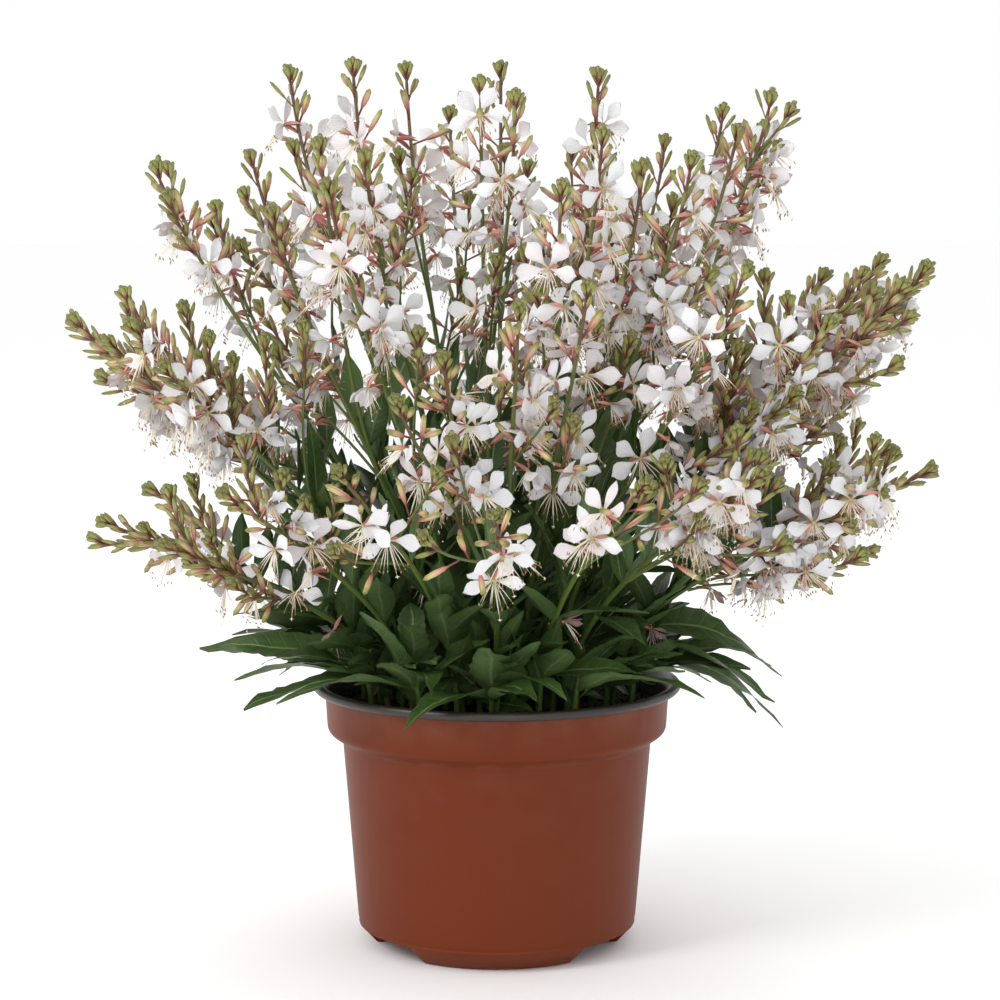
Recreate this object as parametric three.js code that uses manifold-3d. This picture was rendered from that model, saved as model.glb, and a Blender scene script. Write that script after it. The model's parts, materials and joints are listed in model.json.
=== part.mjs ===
// Potted gaura, a garden perennial in a thin plastic nursery pot.
// Millimetres, +Z up. The origin is the centre of the pot's feet, on the surface they stand on,
// and -Y is the front. Every flowering stem and every leafy shoot is a solid of its own.

import * as THREE from "three";
import { mergeVertices } from "three/addons/utils/BufferGeometryUtils.js";
import Module from "manifold-3d";

const wasm = await Module();
wasm.setup();

// Pot
const potSides = 24;
const lipRadius = 95;
const lipTop = 135.5;
const wallThickness = 2;
const footRadius = 63;
const footWidth = 4;
const footHeight = 9.8;
const footTopRadius = 71.7;
// Where the three notches between the feet are, in degrees from the front
const notchMiddles = [-57.5, 57.5, 180];
const notchHalfAngle = 20.5;
const notchHeight = 9.5;
const notchBelow = 1;
const notchInside = 0.72;
const notchOutside = 1.3;
const floorTop = 12;
const drainHoles = 6;
const drainSides = 6;
const drainRadius = 4.5;
const drainRing = 40;
const drainBottom = 5;
const drainTop = 15;

// Soil and the plain holes that the stems stand in
const seatGap = 0.35;
const soilHeight = 123.5;
const stemBottom = 112;
const holeTop = 132;

// Stems
const stemSides = 3;
const stemFootRadius = 2.3;
const stemTipRadius = 1.1;
const sideFootRadius = 1.5;
const stemSegments = 4;
const sideSegments = 3;
const curveStart = 126;
const crownHeight = 128;
const crownRadius = 64;
const fullLean = 50;
const footStraight = 0.32;
const tipStraight = 0.36;
const sideStraight = 0.3;
const forkShare = 0.42;
const headLength = 9;
const headRadius = 1.9;

// Where the feet stand: spread of the feet under their tips, and the rounds that push them apart
const feetSpread = 1.05;
const innerMargin = 4;
const baseSpacing = 11.5;
const pushRounds = 60;
const pushShare = 0.25;
const leastApart = 0.01;

// Blooms: four petals with a tube behind them, and room for the drooping stamens
const petalLength = 14;
const petalHalfWidth = 4.9;
const petalShoulder = 0.6;
const petalAngles = [-102, -38, 38, 102];
const petalFold = 1.8;
const throatRadius = 1.5;
const throatHeight = 1.4;
const tubeRise = 6;
const tubeReach = 8;
const stamenLength = 14;
const throatSink = 0.3;
const firstBloom = 44;
const bloomStep = 17;

// Poses of blooms: lengths in millimetres, turns in degrees. A bloom that finds no room
// is tried again a little further along and round the stem, in the end a size smaller.
const bloomPose = {
  trials: 18, trialShift: 2.2, trialTurn: 67, jitter: 6,
  firstTurn: 90, turnReach: 130, turnStep: 0.618,
  faceAway: 0.8, faceOutward: 0.55, faceUp: 0.12,
  size: 0.94, sizeRange: 0.14, smallerAfter: 11, smallerBy: 0.14,
  rollRange: 40, cup: 0.1, cupRange: 0.25,
};

// Buds, longer and wider down the spike
const budsPerSpike = 3;
const budStep = 12;
const budHalfWidth = 1.9;
const budPose = {
  trials: 6, first: 3, jitter: 3, length: 8, lengthStep: 3.4, spread: 0.5, spreadStep: 0.08,
  width: 0.8, widthStep: 0.08, widest: 0.62,
};

// Leaves: large ones on the leafy shoots and small ones low on the flowering stems
const keelDepth = 1.4;
const keelWidening = 0.04;
const toothDepth = 0.13;
const shootLeaf = {
  trials: 14, first: 0.25, span: 0.7, firstTurn: 90, turnStep: 26, trialTurn: 23, jitter: 5,
  jitterRange: 9, lift: 10, liftStep: 11, liftRange: 14, length: 84, lengthStep: 6, trialLength: 2,
  width: 0.14, droop: 0.44, stations: 4,
};
const stemLeaf = {
  trials: 10, count: 2, first: 0.16, step: 0.13, lift: 32, liftRange: 34,
  length: 58, lengthStep: 10, width: 0.14, droop: 0.2, stations: 2,
};

// Room kept clear about the pot, the soil and the stems
const soilClearReach = 85;
const clearance = 1.2;
const lipClearance = 1;
const lineBallStep = 4;
const lineMargin = 1;

// Joins between grown pieces are smoothed by the first of these that leaves one sound body
const smoothings = [0.3, 0.26, 0.22, 0.18, 0.12, 0.05];
const closestCorners = 0.002;

// Roots of blooms, buds and leaves start this far past the middle of their stem
const rootSink = 0.3;

// Tips of the flowering stems in millimetres, each with its number of open blooms,
// and the tips of the side spikes that fork from them.
const sprays = [
  { tip: [-172, -10, 398, 2], side: [-150, 45, 372, 2] },
  { tip: [-130, 60, 405, 3] },
  { tip: [-109, -62, 376, 3], side: [-84, -94, 408, 2] },
  { tip: [-108, 40, 448, 3] },
  { tip: [-78, -124, 388, 3] },
  { tip: [-73, 5, 450, 3], side: [-64, -60, 403, 3] },
  { tip: [-48, 62, 451, 2] },
  { tip: [-26, 112, 430, 3] },
  { tip: [-8, -22, 440, 3], side: [9, -72, 431, 3] },
  { tip: [2, 50, 451, 2] },
  { tip: [52, 18, 446, 3] },
  { tip: [50, -92, 412, 3], side: [30, -124, 387, 2] },
  { tip: [71, -60, 398, 3] },
  { tip: [89, 62, 413, 3] },
  { tip: [93, -82, 401, 3] },
  { tip: [118, 40, 428, 3], side: [142, 82, 420, 2] },
  { tip: [119, -32, 416, 3] },
  { tip: [139, 2, 434, 3] },
  { tip: [116, -122, 350, 4] },
  { tip: [163, -62, 323, 3] },
  { tip: [186, -4, 345, 3], side: [173, 58, 343, 2] },
  { tip: [202, -36, 340, 2] },
  { tip: [221, 10, 347, 3], side: [206, 70, 350, 2] },
  { tip: [222, -6, 245, 3], side: [208, 48, 251, 2] },
  { tip: [188, -66, 239, 3] },
  { tip: [-219, 18, 320, 3], side: [-196, 64, 326, 2] },
  { tip: [-192, -42, 312, 3] },
  { tip: [-176, -80, 322, 2] },
  { tip: [-200, -14, 219, 3], side: [-184, 46, 230, 2] },
  { tip: [-163, -66, 214, 3] },
  { tip: [-129, -108, 244, 3] },
  { tip: [-24, -150, 310, 3], side: [-44, -178, 292, 2] },
  { tip: [10, -162, 333, 3] },
  { tip: [42, -138, 342, 2] },
  { tip: [-70, -186, 262, 3] },
  { tip: [66, -196, 258, 3] },
  { tip: [0, -219, 246, 3] },
  { tip: [122, -152, 258, 3] },
  { tip: [-112, 168, 312, 3] },
  { tip: [-16, 192, 334, 2], side: [12, 219, 262, 2] },
  { tip: [88, 182, 300, 3] },
  { tip: [158, 132, 290, 2] },
  { tip: [-162, 128, 278, 2] },
  { tip: [-72, 122, 408, 2] },
  { tip: [62, 132, 404, 2] },
];

// Leafy shoots: azimuth in degrees, distance from the axis, height and number of large leaves
const shoots = [
  [-92, 71.5, 34, 6], [-58, 72.5, 30, 6], [-122, 71.5, 38, 6], [-17, 71.5, 44, 6],
  [14, 71.5, 40, 5], [50, 72.5, 36, 5], [90, 71.5, 34, 5], [130, 72.5, 36, 5],
  [166, 71.5, 40, 6], [-152, 71.5, 34, 6], [-75, 50, 62, 6],
];

const up = new THREE.Vector3(0, 0, 1);
const goldenTurn = 2.399963;
const fullTurn = 6.28;
const degree = Math.PI / 180;

// A repeatable number from 0 to 1 for three whole numbers.
function chance(a, b, c) {
  const value = Math.sin(a * 12.9898 + b * 78.233 + c * 37.719 + 1.7) * 43758.5453;
  return value - Math.floor(value);
}

function vector(x, y, z) {
  return new THREE.Vector3(x, y, z);
}

// Sum of directions, each times its own length, from a starting point.
function reach(start, ...steps) {
  const point = start.clone();
  for (const [direction, length] of steps) {
    point.addScaledVector(direction, length);
  }
  return point;
}

// A closed solid from its corners and its triangles, turned right side out.
function solid(corners, triangles) {
  let volume = 0;
  for (const [a, b, c] of triangles) {
    volume += corners[a].dot(vector(0, 0, 0).crossVectors(corners[b], corners[c]));
  }
  const turned = volume < 0 ? triangles.map(([a, b, c]) => [a, c, b]) : triangles;
  const mesh = new wasm.Mesh({
    numProp: 3,
    vertProperties: new Float32Array(corners.flatMap((corner) => corner.toArray())),
    triVerts: new Uint32Array(turned.flat()),
  });
  return new wasm.Manifold(mesh);
}

// A closed solid from a geometry whose corners are doubled along its seams.
function sewn(geometry) {
  geometry.deleteAttribute("normal");
  geometry.deleteAttribute("uv");
  const { attributes, index } = mergeVertices(geometry);
  const corners = [];
  for (let i = 0; i < attributes.position.count; i += 1) {
    corners.push(new THREE.Vector3().fromBufferAttribute(attributes.position, i));
  }
  const triangles = [];
  for (let i = 0; i < index.count; i += 3) {
    const triangle = [index.getX(i), index.getX(i + 1), index.getX(i + 2)];
    if (new Set(triangle).size === triangle.length) {
      triangles.push(triangle);
    }
  }
  return solid(corners, triangles);
}

// A turned solid: a profile of [radius, height] pairs that starts and ends on the axis.
function turnedSolid(profile) {
  const points = profile.map(([radius, height]) => new THREE.Vector2(radius, height));
  return sewn(new THREE.LatheGeometry(points, potSides).rotateX(Math.PI / 2));
}

// An upright bar of few sides, with a corner at the given turn, to cut a hole with.
function bar(x, y, bottom, top, radius, sides, turn) {
  const geometry = new THREE.CylinderGeometry(radius, radius, top - bottom, sides);
  geometry.rotateX(Math.PI / 2).rotateZ(turn + Math.PI / 2).translate(x, y, (bottom + top) / 2);
  return sewn(geometry);
}

// Inside of the pot, from the middle of its floor up to the lip.
const potInside = [
  [0, floorTop], [69.1, floorTop], [77.6, 108], [86, 114.2], [86.8, 130.5],
];

// Outside of the pot, from the middle of its underside up to the lip.
const potOutside = [
  [0, floorTop - wallThickness],
  [footRadius - footWidth - 1, floorTop - wallThickness],
  [footRadius - footWidth, 0],
  [footRadius, 0],
  [footTopRadius, footHeight],
  [72, 13.6],
  [79.6, 106],
  [87.6, 111.2],
  [88.6, 129.6],
  [lipRadius, 131.6],
  [lipRadius - 2, lipTop],
  [lipRadius - 6, 133.6],
];

function makePot() {
  let pot = turnedSolid([...potOutside, ...potInside.toReversed()]);
  for (const notchMiddle of notchMiddles) {
    const middle = notchMiddle - 90;
    const edges = [[-1, notchInside], [1, notchInside], [1, notchOutside], [-1, notchOutside]];
    const outline = edges.map(([side, scale]) => {
      const angle = (middle + side * notchHalfAngle) * degree;
      return new THREE.Vector2(footRadius * scale * Math.cos(angle), footRadius * scale * Math.sin(angle));
    });
    const block = new THREE.ExtrudeGeometry(new THREE.Shape(outline),
      { depth: notchHeight + notchBelow, bevelEnabled: false });
    pot = pot.subtract(sewn(block.translate(0, 0, -notchBelow)));
  }
  for (let i = 0; i < drainHoles; i += 1) {
    const angle = (2 * Math.PI * i) / drainHoles;
    pot = pot.subtract(bar(drainRing * Math.cos(angle), drainRing * Math.sin(angle),
      drainBottom, drainTop, drainRadius, drainSides, 0));
  }
  return pot;
}

function makeSoil(feet) {
  const profile = [
    [0, potInside[0][1] + seatGap],
    [potInside[1][0] - seatGap, potInside[1][1] + seatGap],
    [potInside[2][0] - seatGap, potInside[2][1]],
    [potInside[3][0] - seatGap, potInside[3][1]],
    [potInside[3][0] - seatGap, soilHeight],
    [0, soilHeight],
  ];
  const bottom = stemBottom - seatGap;
  const holes = feet.map(({ x, y, turn }) => (
    bar(x, y, bottom, holeTop, stemFootRadius + 2 * seatGap, stemSides, turn)));
  return turnedSolid(profile).subtract(wasm.Manifold.union(holes));
}

// The growing line of one spike: straight pieces along a curve, with a frame that never twists.
function makeLine(controls, segments, radiusStart, radiusEnd, sideways) {
  const curve = new THREE.CubicBezierCurve3(...controls);
  const length = curve.getLength();
  const points = curve.getSpacedPoints(segments);
  const at = (distance) => {
    const u = Math.min(Math.max(distance / length, 0), 1);
    const piece = Math.min(Math.floor(u * segments), segments - 1);
    const along = curve.getTangentAt(u);
    const across = sideways.clone().addScaledVector(along, -sideways.dot(along)).normalize();
    const outward = across.clone().cross(along);
    const point = points[piece].clone().lerp(points[piece + 1], u * segments - piece);
    return { point, along, across, outward };
  };
  const radius = (distance) => radiusStart + (radiusEnd - radiusStart) * (distance / length);
  return { at, length, radius, segments };
}

// A stem: rings of few sides along its line, the first at its foot and the last a point.
function makeStem(line, foot) {
  const rings = [];
  if (foot) {
    rings.push({ ...line.at(0), point: foot, along: up, radius: line.radius(0) });
  }
  for (let i = 0; i < line.segments; i += 1) {
    const distance = (line.length * i) / line.segments;
    rings.push({ ...line.at(distance), radius: line.radius(distance) });
  }
  rings.push({ ...line.at(line.length - headLength), radius: headRadius });
  const corners = [rings[0].point, line.at(line.length).point];
  for (const ring of rings) {
    for (let i = 0; i < stemSides; i += 1) {
      const angle = (2 * Math.PI * i) / stemSides;
      corners.push(reach(ring.point,
        [ring.across, ring.radius * Math.cos(angle)],
        [ring.outward, ring.radius * Math.sin(angle)]));
    }
  }
  const at = (ring, i) => 2 + ring * stemSides + (i % stemSides);
  const triangles = [];
  for (let i = 0; i < stemSides; i += 1) {
    triangles.push([0, at(0, i), at(0, i + 1)]);
    triangles.push([1, at(rings.length - 1, i + 1), at(rings.length - 1, i)]);
    for (let ring = 0; ring < rings.length - 1; ring += 1) {
      triangles.push([at(ring, i), at(ring + 1, i + 1), at(ring, i + 1)]);
      triangles.push([at(ring, i), at(ring + 1, i), at(ring + 1, i + 1)]);
    }
  }
  return solid(corners, triangles);
}

// Where things are: balls along everything placed so far, with the solid that they belong to.
const taken = [];

function inPot(x, y, z, radius) {
  const distance = Math.hypot(x, y);
  const besideSoil = distance + radius < soilClearReach && z - radius > soilHeight + clearance;
  return z - radius < lipTop + lipClearance && distance - radius < lipRadius + clearance && !besideSoil;
}

function isClear(balls, owner) {
  return balls.every(([x, y, z, radius]) => !inPot(x, y, z, radius)
    && taken.every((ball) => ball[4] === owner
      || Math.hypot(ball[0] - x, ball[1] - y, ball[2] - z) > ball[3] + radius));
}

function claim(balls, owner) {
  for (const ball of balls) {
    taken.push([...ball, owner]);
  }
}

function ball(point, radius) {
  return [point.x, point.y, point.z, radius];
}

function claimLine(line, owner) {
  const count = Math.ceil(line.length / lineBallStep);
  for (let i = 0; i <= count; i += 1) {
    const distance = (line.length * i) / count;
    claim([ball(line.at(distance).point, line.radius(distance) + lineMargin)], owner);
  }
}

// Feet of the stems in the soil: under their tips, drawn in to the crown, then pushed apart.
function placeFeet() {
  const feet = sprays.map(({ tip: [x, y, z] }) => {
    const lean = Math.atan2(Math.hypot(x, y), z - crownHeight);
    const distance = Math.min(feetSpread * crownRadius * Math.sin(lean), crownRadius - innerMargin);
    const azimuth = Math.atan2(y, x);
    return { x: distance * Math.cos(azimuth), y: distance * Math.sin(azimuth), fixed: false };
  });
  for (const [azimuth, distance] of shoots) {
    const angle = azimuth * degree;
    feet.push({ x: distance * Math.cos(angle), y: distance * Math.sin(angle), fixed: true });
  }
  for (let round = 0; round < pushRounds; round += 1) {
    feet.forEach((foot, i) => {
      feet.forEach((other, j) => {
        const apart = Math.hypot(foot.x - other.x, foot.y - other.y);
        if (i !== j && !foot.fixed && apart < baseSpacing) {
          const push = (pushShare * (baseSpacing - apart)) / (apart + leastApart);
          foot.x += (foot.x - other.x) * push;
          foot.y += (foot.y - other.y) * push;
        }
      });
      const distance = Math.hypot(foot.x, foot.y);
      if (!foot.fixed && distance > crownRadius) {
        foot.x *= crownRadius / distance;
        foot.y *= crownRadius / distance;
      }
    });
  }
  return feet;
}

// Direction in which a spike ends: nearly upright in the middle, leaning more and more outside.
function tipDirection(x, y, z) {
  const steepness = Math.atan2(Math.hypot(x, y), z - crownHeight) / degree;
  const lean = Math.min(steepness, (steepness * steepness) / fullLean) * degree;
  const azimuth = Math.atan2(y, x);
  return vector(Math.sin(lean) * Math.cos(azimuth), Math.sin(lean) * Math.sin(azimuth), Math.cos(lean));
}

function makeSprayLines(row, foot) {
  const [x, y, z] = row.tip;
  const tip = vector(x, y, z);
  const start = vector(foot.x, foot.y, curveStart);
  const span = start.distanceTo(tip);
  const azimuth = Math.atan2(y, x);
  const sideways = vector(-Math.sin(azimuth), Math.cos(azimuth), 0);
  const points = [start, reach(start, [up, footStraight * span]),
    reach(tip, [tipDirection(x, y, z), -tipStraight * span]), tip];
  const main = makeLine(points, stemSegments, stemFootRadius, stemTipRadius, sideways);
  main.blooms = row.tip[3];
  const lines = [main];
  if (row.side) {
    const sideTip = vector(...row.side.slice(0, 3));
    const fork = main.at(main.length * forkShare);
    const sideSpan = fork.point.distanceTo(sideTip);
    const sidePoints = [fork.point, reach(fork.point, [fork.along, sideStraight * sideSpan]),
      reach(sideTip, [tipDirection(...row.side.slice(0, 3)), -tipStraight * sideSpan]), sideTip];
    const side = makeLine(sidePoints, sideSegments, sideFootRadius, stemTipRadius, sideways);
    side.blooms = row.side[3];
    lines.push(side);
  }
  return lines;
}

// Side direction at an angle about a stem; 90 degrees points away from the plant's middle.
function around(place, angle) {
  return reach(vector(0, 0, 0), [place.across, Math.cos(angle)], [place.outward, Math.sin(angle)]);
}

// Pose of one bloom: root in the stem, face, upward and sideways directions and size.
// Blooms are counted down from the tip; index runs on over a plant's spikes.
function poseBloom(line, down, index, owner, trial) {
  const look = bloomPose;
  const shift = look.trialShift * Math.ceil(trial / 2) * (trial % 2 ? 1 : -1);
  const jitter = look.jitter * (chance(owner, index, 1) - 0.5);
  const distance = line.length - firstBloom - bloomStep * down - jitter - shift;
  const place = line.at(distance);
  const side = 2 * ((index * look.turnStep + chance(owner, index, 2)) % 1) - 1;
  const turn = (look.firstTurn + look.turnReach * side + look.trialTurn * trial) * degree;
  const away = around(place, turn);
  const outward = vector(place.point.x, place.point.y, 0).normalize();
  const face = reach(vector(0, 0, 0), [away, look.faceAway], [outward, look.faceOutward],
    [up, look.faceUp]).normalize();
  const size = look.size + look.sizeRange * chance(owner, index, 3)
    - (trial > look.smallerAfter ? look.smallerBy : 0);
  const roll = look.rollRange * (chance(owner, index, 4) - 0.5) * degree;
  const upright = reach(up, [face, -face.z]).normalize();
  const across = face.clone().cross(upright);
  const top = reach(vector(0, 0, 0), [upright, Math.cos(roll)], [across, Math.sin(roll)]);
  const centre = reach(place.point, [away, tubeReach * size], [place.along, tubeRise * size]);
  const root = reach(place.point, [centre.clone().sub(place.point).normalize(), -rootSink]);
  return { root, centre, face, top, across: face.clone().cross(top), size,
    cup: look.cup + look.cupRange * chance(owner, index, 5) };
}

function petalDirection(bloom, angle) {
  const turn = angle * degree;
  return reach(vector(0, 0, 0), [bloom.top, Math.cos(turn)], [bloom.across, Math.sin(turn)]);
}

function bloomBalls(bloom) {
  const balls = [ball(bloom.centre, 3)];
  for (const angle of petalAngles) {
    const direction = petalDirection(bloom, angle);
    for (const [along, radius] of [[0.32, 3.2], [0.6, 5.2], [0.9, 3]]) {
      const length = along * petalLength * bloom.size;
      balls.push(ball(reach(bloom.centre, [direction, length], [bloom.face, bloom.cup * length]), radius));
    }
  }
  for (const along of [0.5, 1]) {
    balls.push(ball(stamenTip(bloom, along), 1.6));
  }
  balls.push(ball(reach(bloom.centre, [bloom.root.clone().sub(bloom.centre), 0.5]), 2));
  return balls;
}

function stamenTip(bloom, along) {
  const length = stamenLength * bloom.size * along;
  return reach(bloom.centre, [bloom.face, 0.72 * length], [bloom.top, -0.68 * length]);
}

function makeBloom(bloom) {
  const corners = [bloom.root, reach(bloom.centre, [bloom.face, throatHeight])];
  const count = petalAngles.length;
  for (let i = 0; i < count; i += 1) {
    const before = petalAngles[(i + count - 1) % count] - (i === 0 ? 360 : 0);
    const between = petalDirection(bloom, (before + petalAngles[i]) / 2);
    const direction = petalDirection(bloom, petalAngles[i]);
    const side = bloom.face.clone().cross(direction);
    const length = petalLength * bloom.size;
    const lift = bloom.cup * length;
    const shoulder = petalShoulder * length;
    const width = petalHalfWidth * bloom.size;
    corners.push(
      reach(bloom.centre, [between, throatRadius], [bloom.face, -throatSink]),
      reach(bloom.centre, [direction, shoulder], [side, -width],
        [bloom.face, lift * petalShoulder - petalFold]),
      reach(bloom.centre, [direction, length], [bloom.face, lift]),
      reach(bloom.centre, [direction, shoulder], [side, width],
        [bloom.face, lift * petalShoulder - petalFold]),
    );
  }
  const triangles = [];
  for (let i = 0; i < count; i += 1) {
    const [notch, left, end, right] = [0, 1, 2, 3].map((part) => 2 + 4 * i + part);
    const nextNotch = 2 + 4 * ((i + 1) % count);
    triangles.push(
      [1, left, notch], [1, end, left], [1, right, end], [1, nextNotch, right],
      [notch, left, nextNotch], [left, right, nextNotch], [left, end, right],
      [0, notch, nextNotch],
    );
  }
  return solid(corners, triangles);
}

// Pose of one bud: root in the stem, tip and half width. Buds grow longer down the spike.
function poseBud(line, index, owner, trial) {
  const look = budPose;
  const distance = line.length - look.first - budStep * index - look.jitter * chance(owner, index, 6);
  const place = line.at(distance);
  const turn = goldenTurn * (index + trial) + fullTurn * chance(owner, 9, 7);
  const length = look.length + look.lengthStep * index;
  const spread = look.spread + look.spreadStep * index;
  const tip = reach(place.point, [around(place, turn), spread * length], [place.along, length]);
  const root = reach(place.point, [tip.clone().sub(place.point).normalize(), -rootSink]);
  const halfWidth = budHalfWidth * (look.width + look.widthStep * index);
  return { root, tip, halfWidth, line: place };
}

function budBalls(bud) {
  return [0.4, 0.65, 0.95].map((along) => ball(bud.root.clone().lerp(bud.tip, along), 1.9));
}

function makeBud(bud) {
  const direction = bud.tip.clone().sub(bud.root).normalize();
  const across = bud.line.across.clone().cross(direction).normalize();
  const middle = bud.root.clone().lerp(bud.tip, budPose.widest);
  const corners = [bud.root, bud.tip];
  for (let i = 0; i < 3; i += 1) {
    const angle = (2 * Math.PI * i) / 3;
    corners.push(reach(middle, [across, bud.halfWidth * Math.cos(angle)],
      [direction.clone().cross(across), bud.halfWidth * Math.sin(angle)]));
  }
  return solid(corners, [[0, 2, 3], [0, 3, 4], [0, 4, 2], [1, 3, 2], [1, 4, 3], [1, 2, 4]]);
}

// A leaf's middle line rises from its root and arches down under its own weight.
function leafPoint(leaf, along) {
  return reach(leaf.root, [leaf.direction, leaf.length * along],
    [up, -leaf.droop * leaf.length * along * along]);
}

// Half width along a leaf, with coarse teeth on its longer edges.
function leafWidth(leaf, station) {
  const along = station / (leaf.stations + 1);
  const tooth = leaf.stations > 3 ? 1 + toothDepth * (station % 2 ? 1 : -1) : 1;
  return leaf.width * tooth * (Math.sin(Math.PI * along ** 0.85) ** 0.8);
}

function leafBalls(leaf) {
  const balls = [];
  const count = leaf.stations + 2;
  for (let i = 1; i <= count; i += 1) {
    const along = (i + 0.3) / (count + 0.3);
    const width = leaf.width * (Math.sin(Math.PI * along ** 0.85) ** 0.8) + 0.3;
    const middle = leafPoint(leaf, along);
    const parts = width > 6 ? [-0.62, 0, 0.62] : [0];
    for (const part of parts) {
      balls.push(ball(reach(middle, [leaf.side, part * width]), width > 6 ? 0.5 * width : width));
    }
  }
  return balls;
}

function makeLeaf(leaf) {
  const corners = [leaf.root, leafPoint(leaf, 1)];
  for (let i = 1; i <= leaf.stations; i += 1) {
    const middle = leafPoint(leaf, i / (leaf.stations + 1));
    const width = leafWidth(leaf, i);
    corners.push(reach(middle, [leaf.side, -width]), reach(middle, [leaf.side, width]),
      reach(middle, [up, -keelDepth - keelWidening * width]));
  }
  const last = 3 * leaf.stations - 1;
  const triangles = [[0, 2, 3], [0, 4, 2], [0, 3, 4]];
  triangles.push([1, last + 1, last], [1, last, last + 2], [1, last + 2, last + 1]);
  for (let i = 2; i < last; i += 3) {
    const [left, right, keel] = [i, i + 1, i + 2];
    triangles.push([left, left + 3, right], [right, left + 3, right + 3]);
    triangles.push([left, keel, left + 3], [keel, keel + 3, left + 3]);
    triangles.push([right, right + 3, keel], [keel, right + 3, keel + 3]);
  }
  return solid(corners, triangles);
}

function poseLeaf(place, turn, lift, length, width, droop, stations) {
  const away = around(place, turn);
  const direction = reach(vector(0, 0, 0), [away, Math.cos(lift)], [up, Math.sin(lift)]).normalize();
  const side = direction.clone().cross(up).normalize();
  const root = reach(place.point, [direction, -rootSink]);
  return { root, direction, side, length, width, droop, stations };
}

// The first trial of a thing that stands clear of what is already there, or nothing.
function firstClear(trials, pose, balls, owner) {
  for (let trial = 0; trial < trials; trial += 1) {
    const thing = pose(trial);
    const place = balls(thing);
    if (isClear(place, owner)) {
      claim(place, owner);
      return thing;
    }
  }
  return null;
}

const feet = placeFeet();
const plants = [];

sprays.forEach((row, i) => {
  const foot = feet[i];
  plants.push({ name: `spray_${String(i + 1).padStart(2, "0")}`, foot, owner: i, solids: [],
    lines: makeSprayLines(row, foot) });
});

shoots.forEach(([azimuth, distance, height, leaves], i) => {
  const foot = feet[sprays.length + i];
  const start = vector(foot.x, foot.y, curveStart);
  const angle = azimuth * degree;
  const outward = vector(Math.cos(angle), Math.sin(angle), 0);
  const tip = reach(start, [outward, 0.16 * height], [up, height]);
  const points = [start, reach(start, [up, 0.4 * height]), reach(tip, [up, -0.3 * height]), tip];
  const sideways = vector(-outward.y, outward.x, 0);
  const line = makeLine(points, 2, stemFootRadius, stemTipRadius, sideways);
  plants.push({ name: `leafy_shoot_${String(i + 1).padStart(2, "0")}`, foot, leaves,
    owner: sprays.length + i, solids: [], lines: [line] });
});

for (const plant of plants) {
  const azimuth = Math.atan2(plant.lines[0].at(0).across.y, plant.lines[0].at(0).across.x);
  plant.foot.turn = azimuth;
  plant.lines.forEach((line, i) => {
    const foot = i === 0 ? vector(plant.foot.x, plant.foot.y, stemBottom) : null;
    plant.solids.push(makeStem(line, foot));
    claimLine(line, plant.owner);
  });
}

for (const plant of plants.filter((each) => !each.leaves)) {
  plant.lines.forEach((line, which) => {
    for (let down = 0; down < line.blooms; down += 1) {
      const pose = (trial) => poseBloom(line, down, down + 4 * which, plant.owner, trial);
      const bloom = firstClear(bloomPose.trials, pose, bloomBalls, plant.owner);
      if (bloom) {
        plant.solids.push(makeBloom(bloom));
      }
    }
  });
}

for (const plant of plants.filter((each) => !each.leaves)) {
  for (const line of plant.lines) {
    for (let index = 0; index < budsPerSpike; index += 1) {
      const pose = (trial) => poseBud(line, index, plant.owner, trial);
      const bud = firstClear(budPose.trials, pose, budBalls, plant.owner);
      if (bud) {
        plant.solids.push(makeBud(bud));
      }
    }
  }
}

for (const plant of plants.filter((each) => each.leaves)) {
  const look = shootLeaf;
  for (let index = 0; index < plant.leaves; index += 1) {
    const line = plant.lines[0];
    const place = line.at(line.length * (look.first + (look.span * index) / plant.leaves));
    const pose = (trial) => {
      const jitter = look.jitter + look.jitterRange * chance(plant.owner, index, 10);
      const side = index % 2 ? 1 : -1;
      const turn = look.firstTurn + side * look.turnStep * index + look.trialTurn * trial + jitter;
      const lift = look.lift + look.liftStep * index + look.liftRange * chance(plant.owner, index, trial);
      const length = look.length - look.lengthStep * index - look.trialLength * trial;
      return poseLeaf(place, turn * degree, lift * degree, length, look.width * length, look.droop,
        look.stations);
    };
    const leaf = firstClear(look.trials, pose, leafBalls, plant.owner);
    if (leaf) {
      plant.solids.push(makeLeaf(leaf));
    }
  }
}

for (const plant of plants.filter((each) => !each.leaves)) {
  const look = stemLeaf;
  const line = plant.lines[0];
  const count = look.count + (plant.owner % 2);
  for (let index = 0; index < count; index += 1) {
    const place = line.at(line.length * (look.first + look.step * index));
    const pose = (trial) => {
      const turn = goldenTurn * (index + trial) + fullTurn * chance(plant.owner, index, 8);
      const lift = (look.lift + look.liftRange * chance(plant.owner, index, 9)) * degree;
      const length = look.length - look.lengthStep * index - trial;
      return poseLeaf(place, turn, lift, length, look.width * length, look.droop, look.stations);
    };
    const leaf = firstClear(look.trials, pose, leafBalls, plant.owner);
    if (leaf) {
      plant.solids.push(makeLeaf(leaf));
    }
  }
}

const finishes = {
  pot: { color: "#8a4632", roughness: 0.45, metalness: 0 },
  soil: { color: "#2b211b", roughness: 0.95, metalness: 0 },
  spray: { color: "#c9c3b4", roughness: 0.6, metalness: 0 },
  leafy: { color: "#3d6127", roughness: 0.5, metalness: 0 },
};

function toMesh(name, manifold) {
  const { vertProperties, triVerts } = manifold.getMesh();
  const geometry = new THREE.BufferGeometry();
  geometry.setAttribute("position", new THREE.BufferAttribute(new Float32Array(vertProperties), 3));
  geometry.setIndex([...triVerts]);
  geometry.computeVertexNormals();
  const mesh = new THREE.Mesh(geometry, new THREE.MeshStandardMaterial(finishes[name.split("_")[0]]));
  mesh.name = name;
  return mesh;
}

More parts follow.
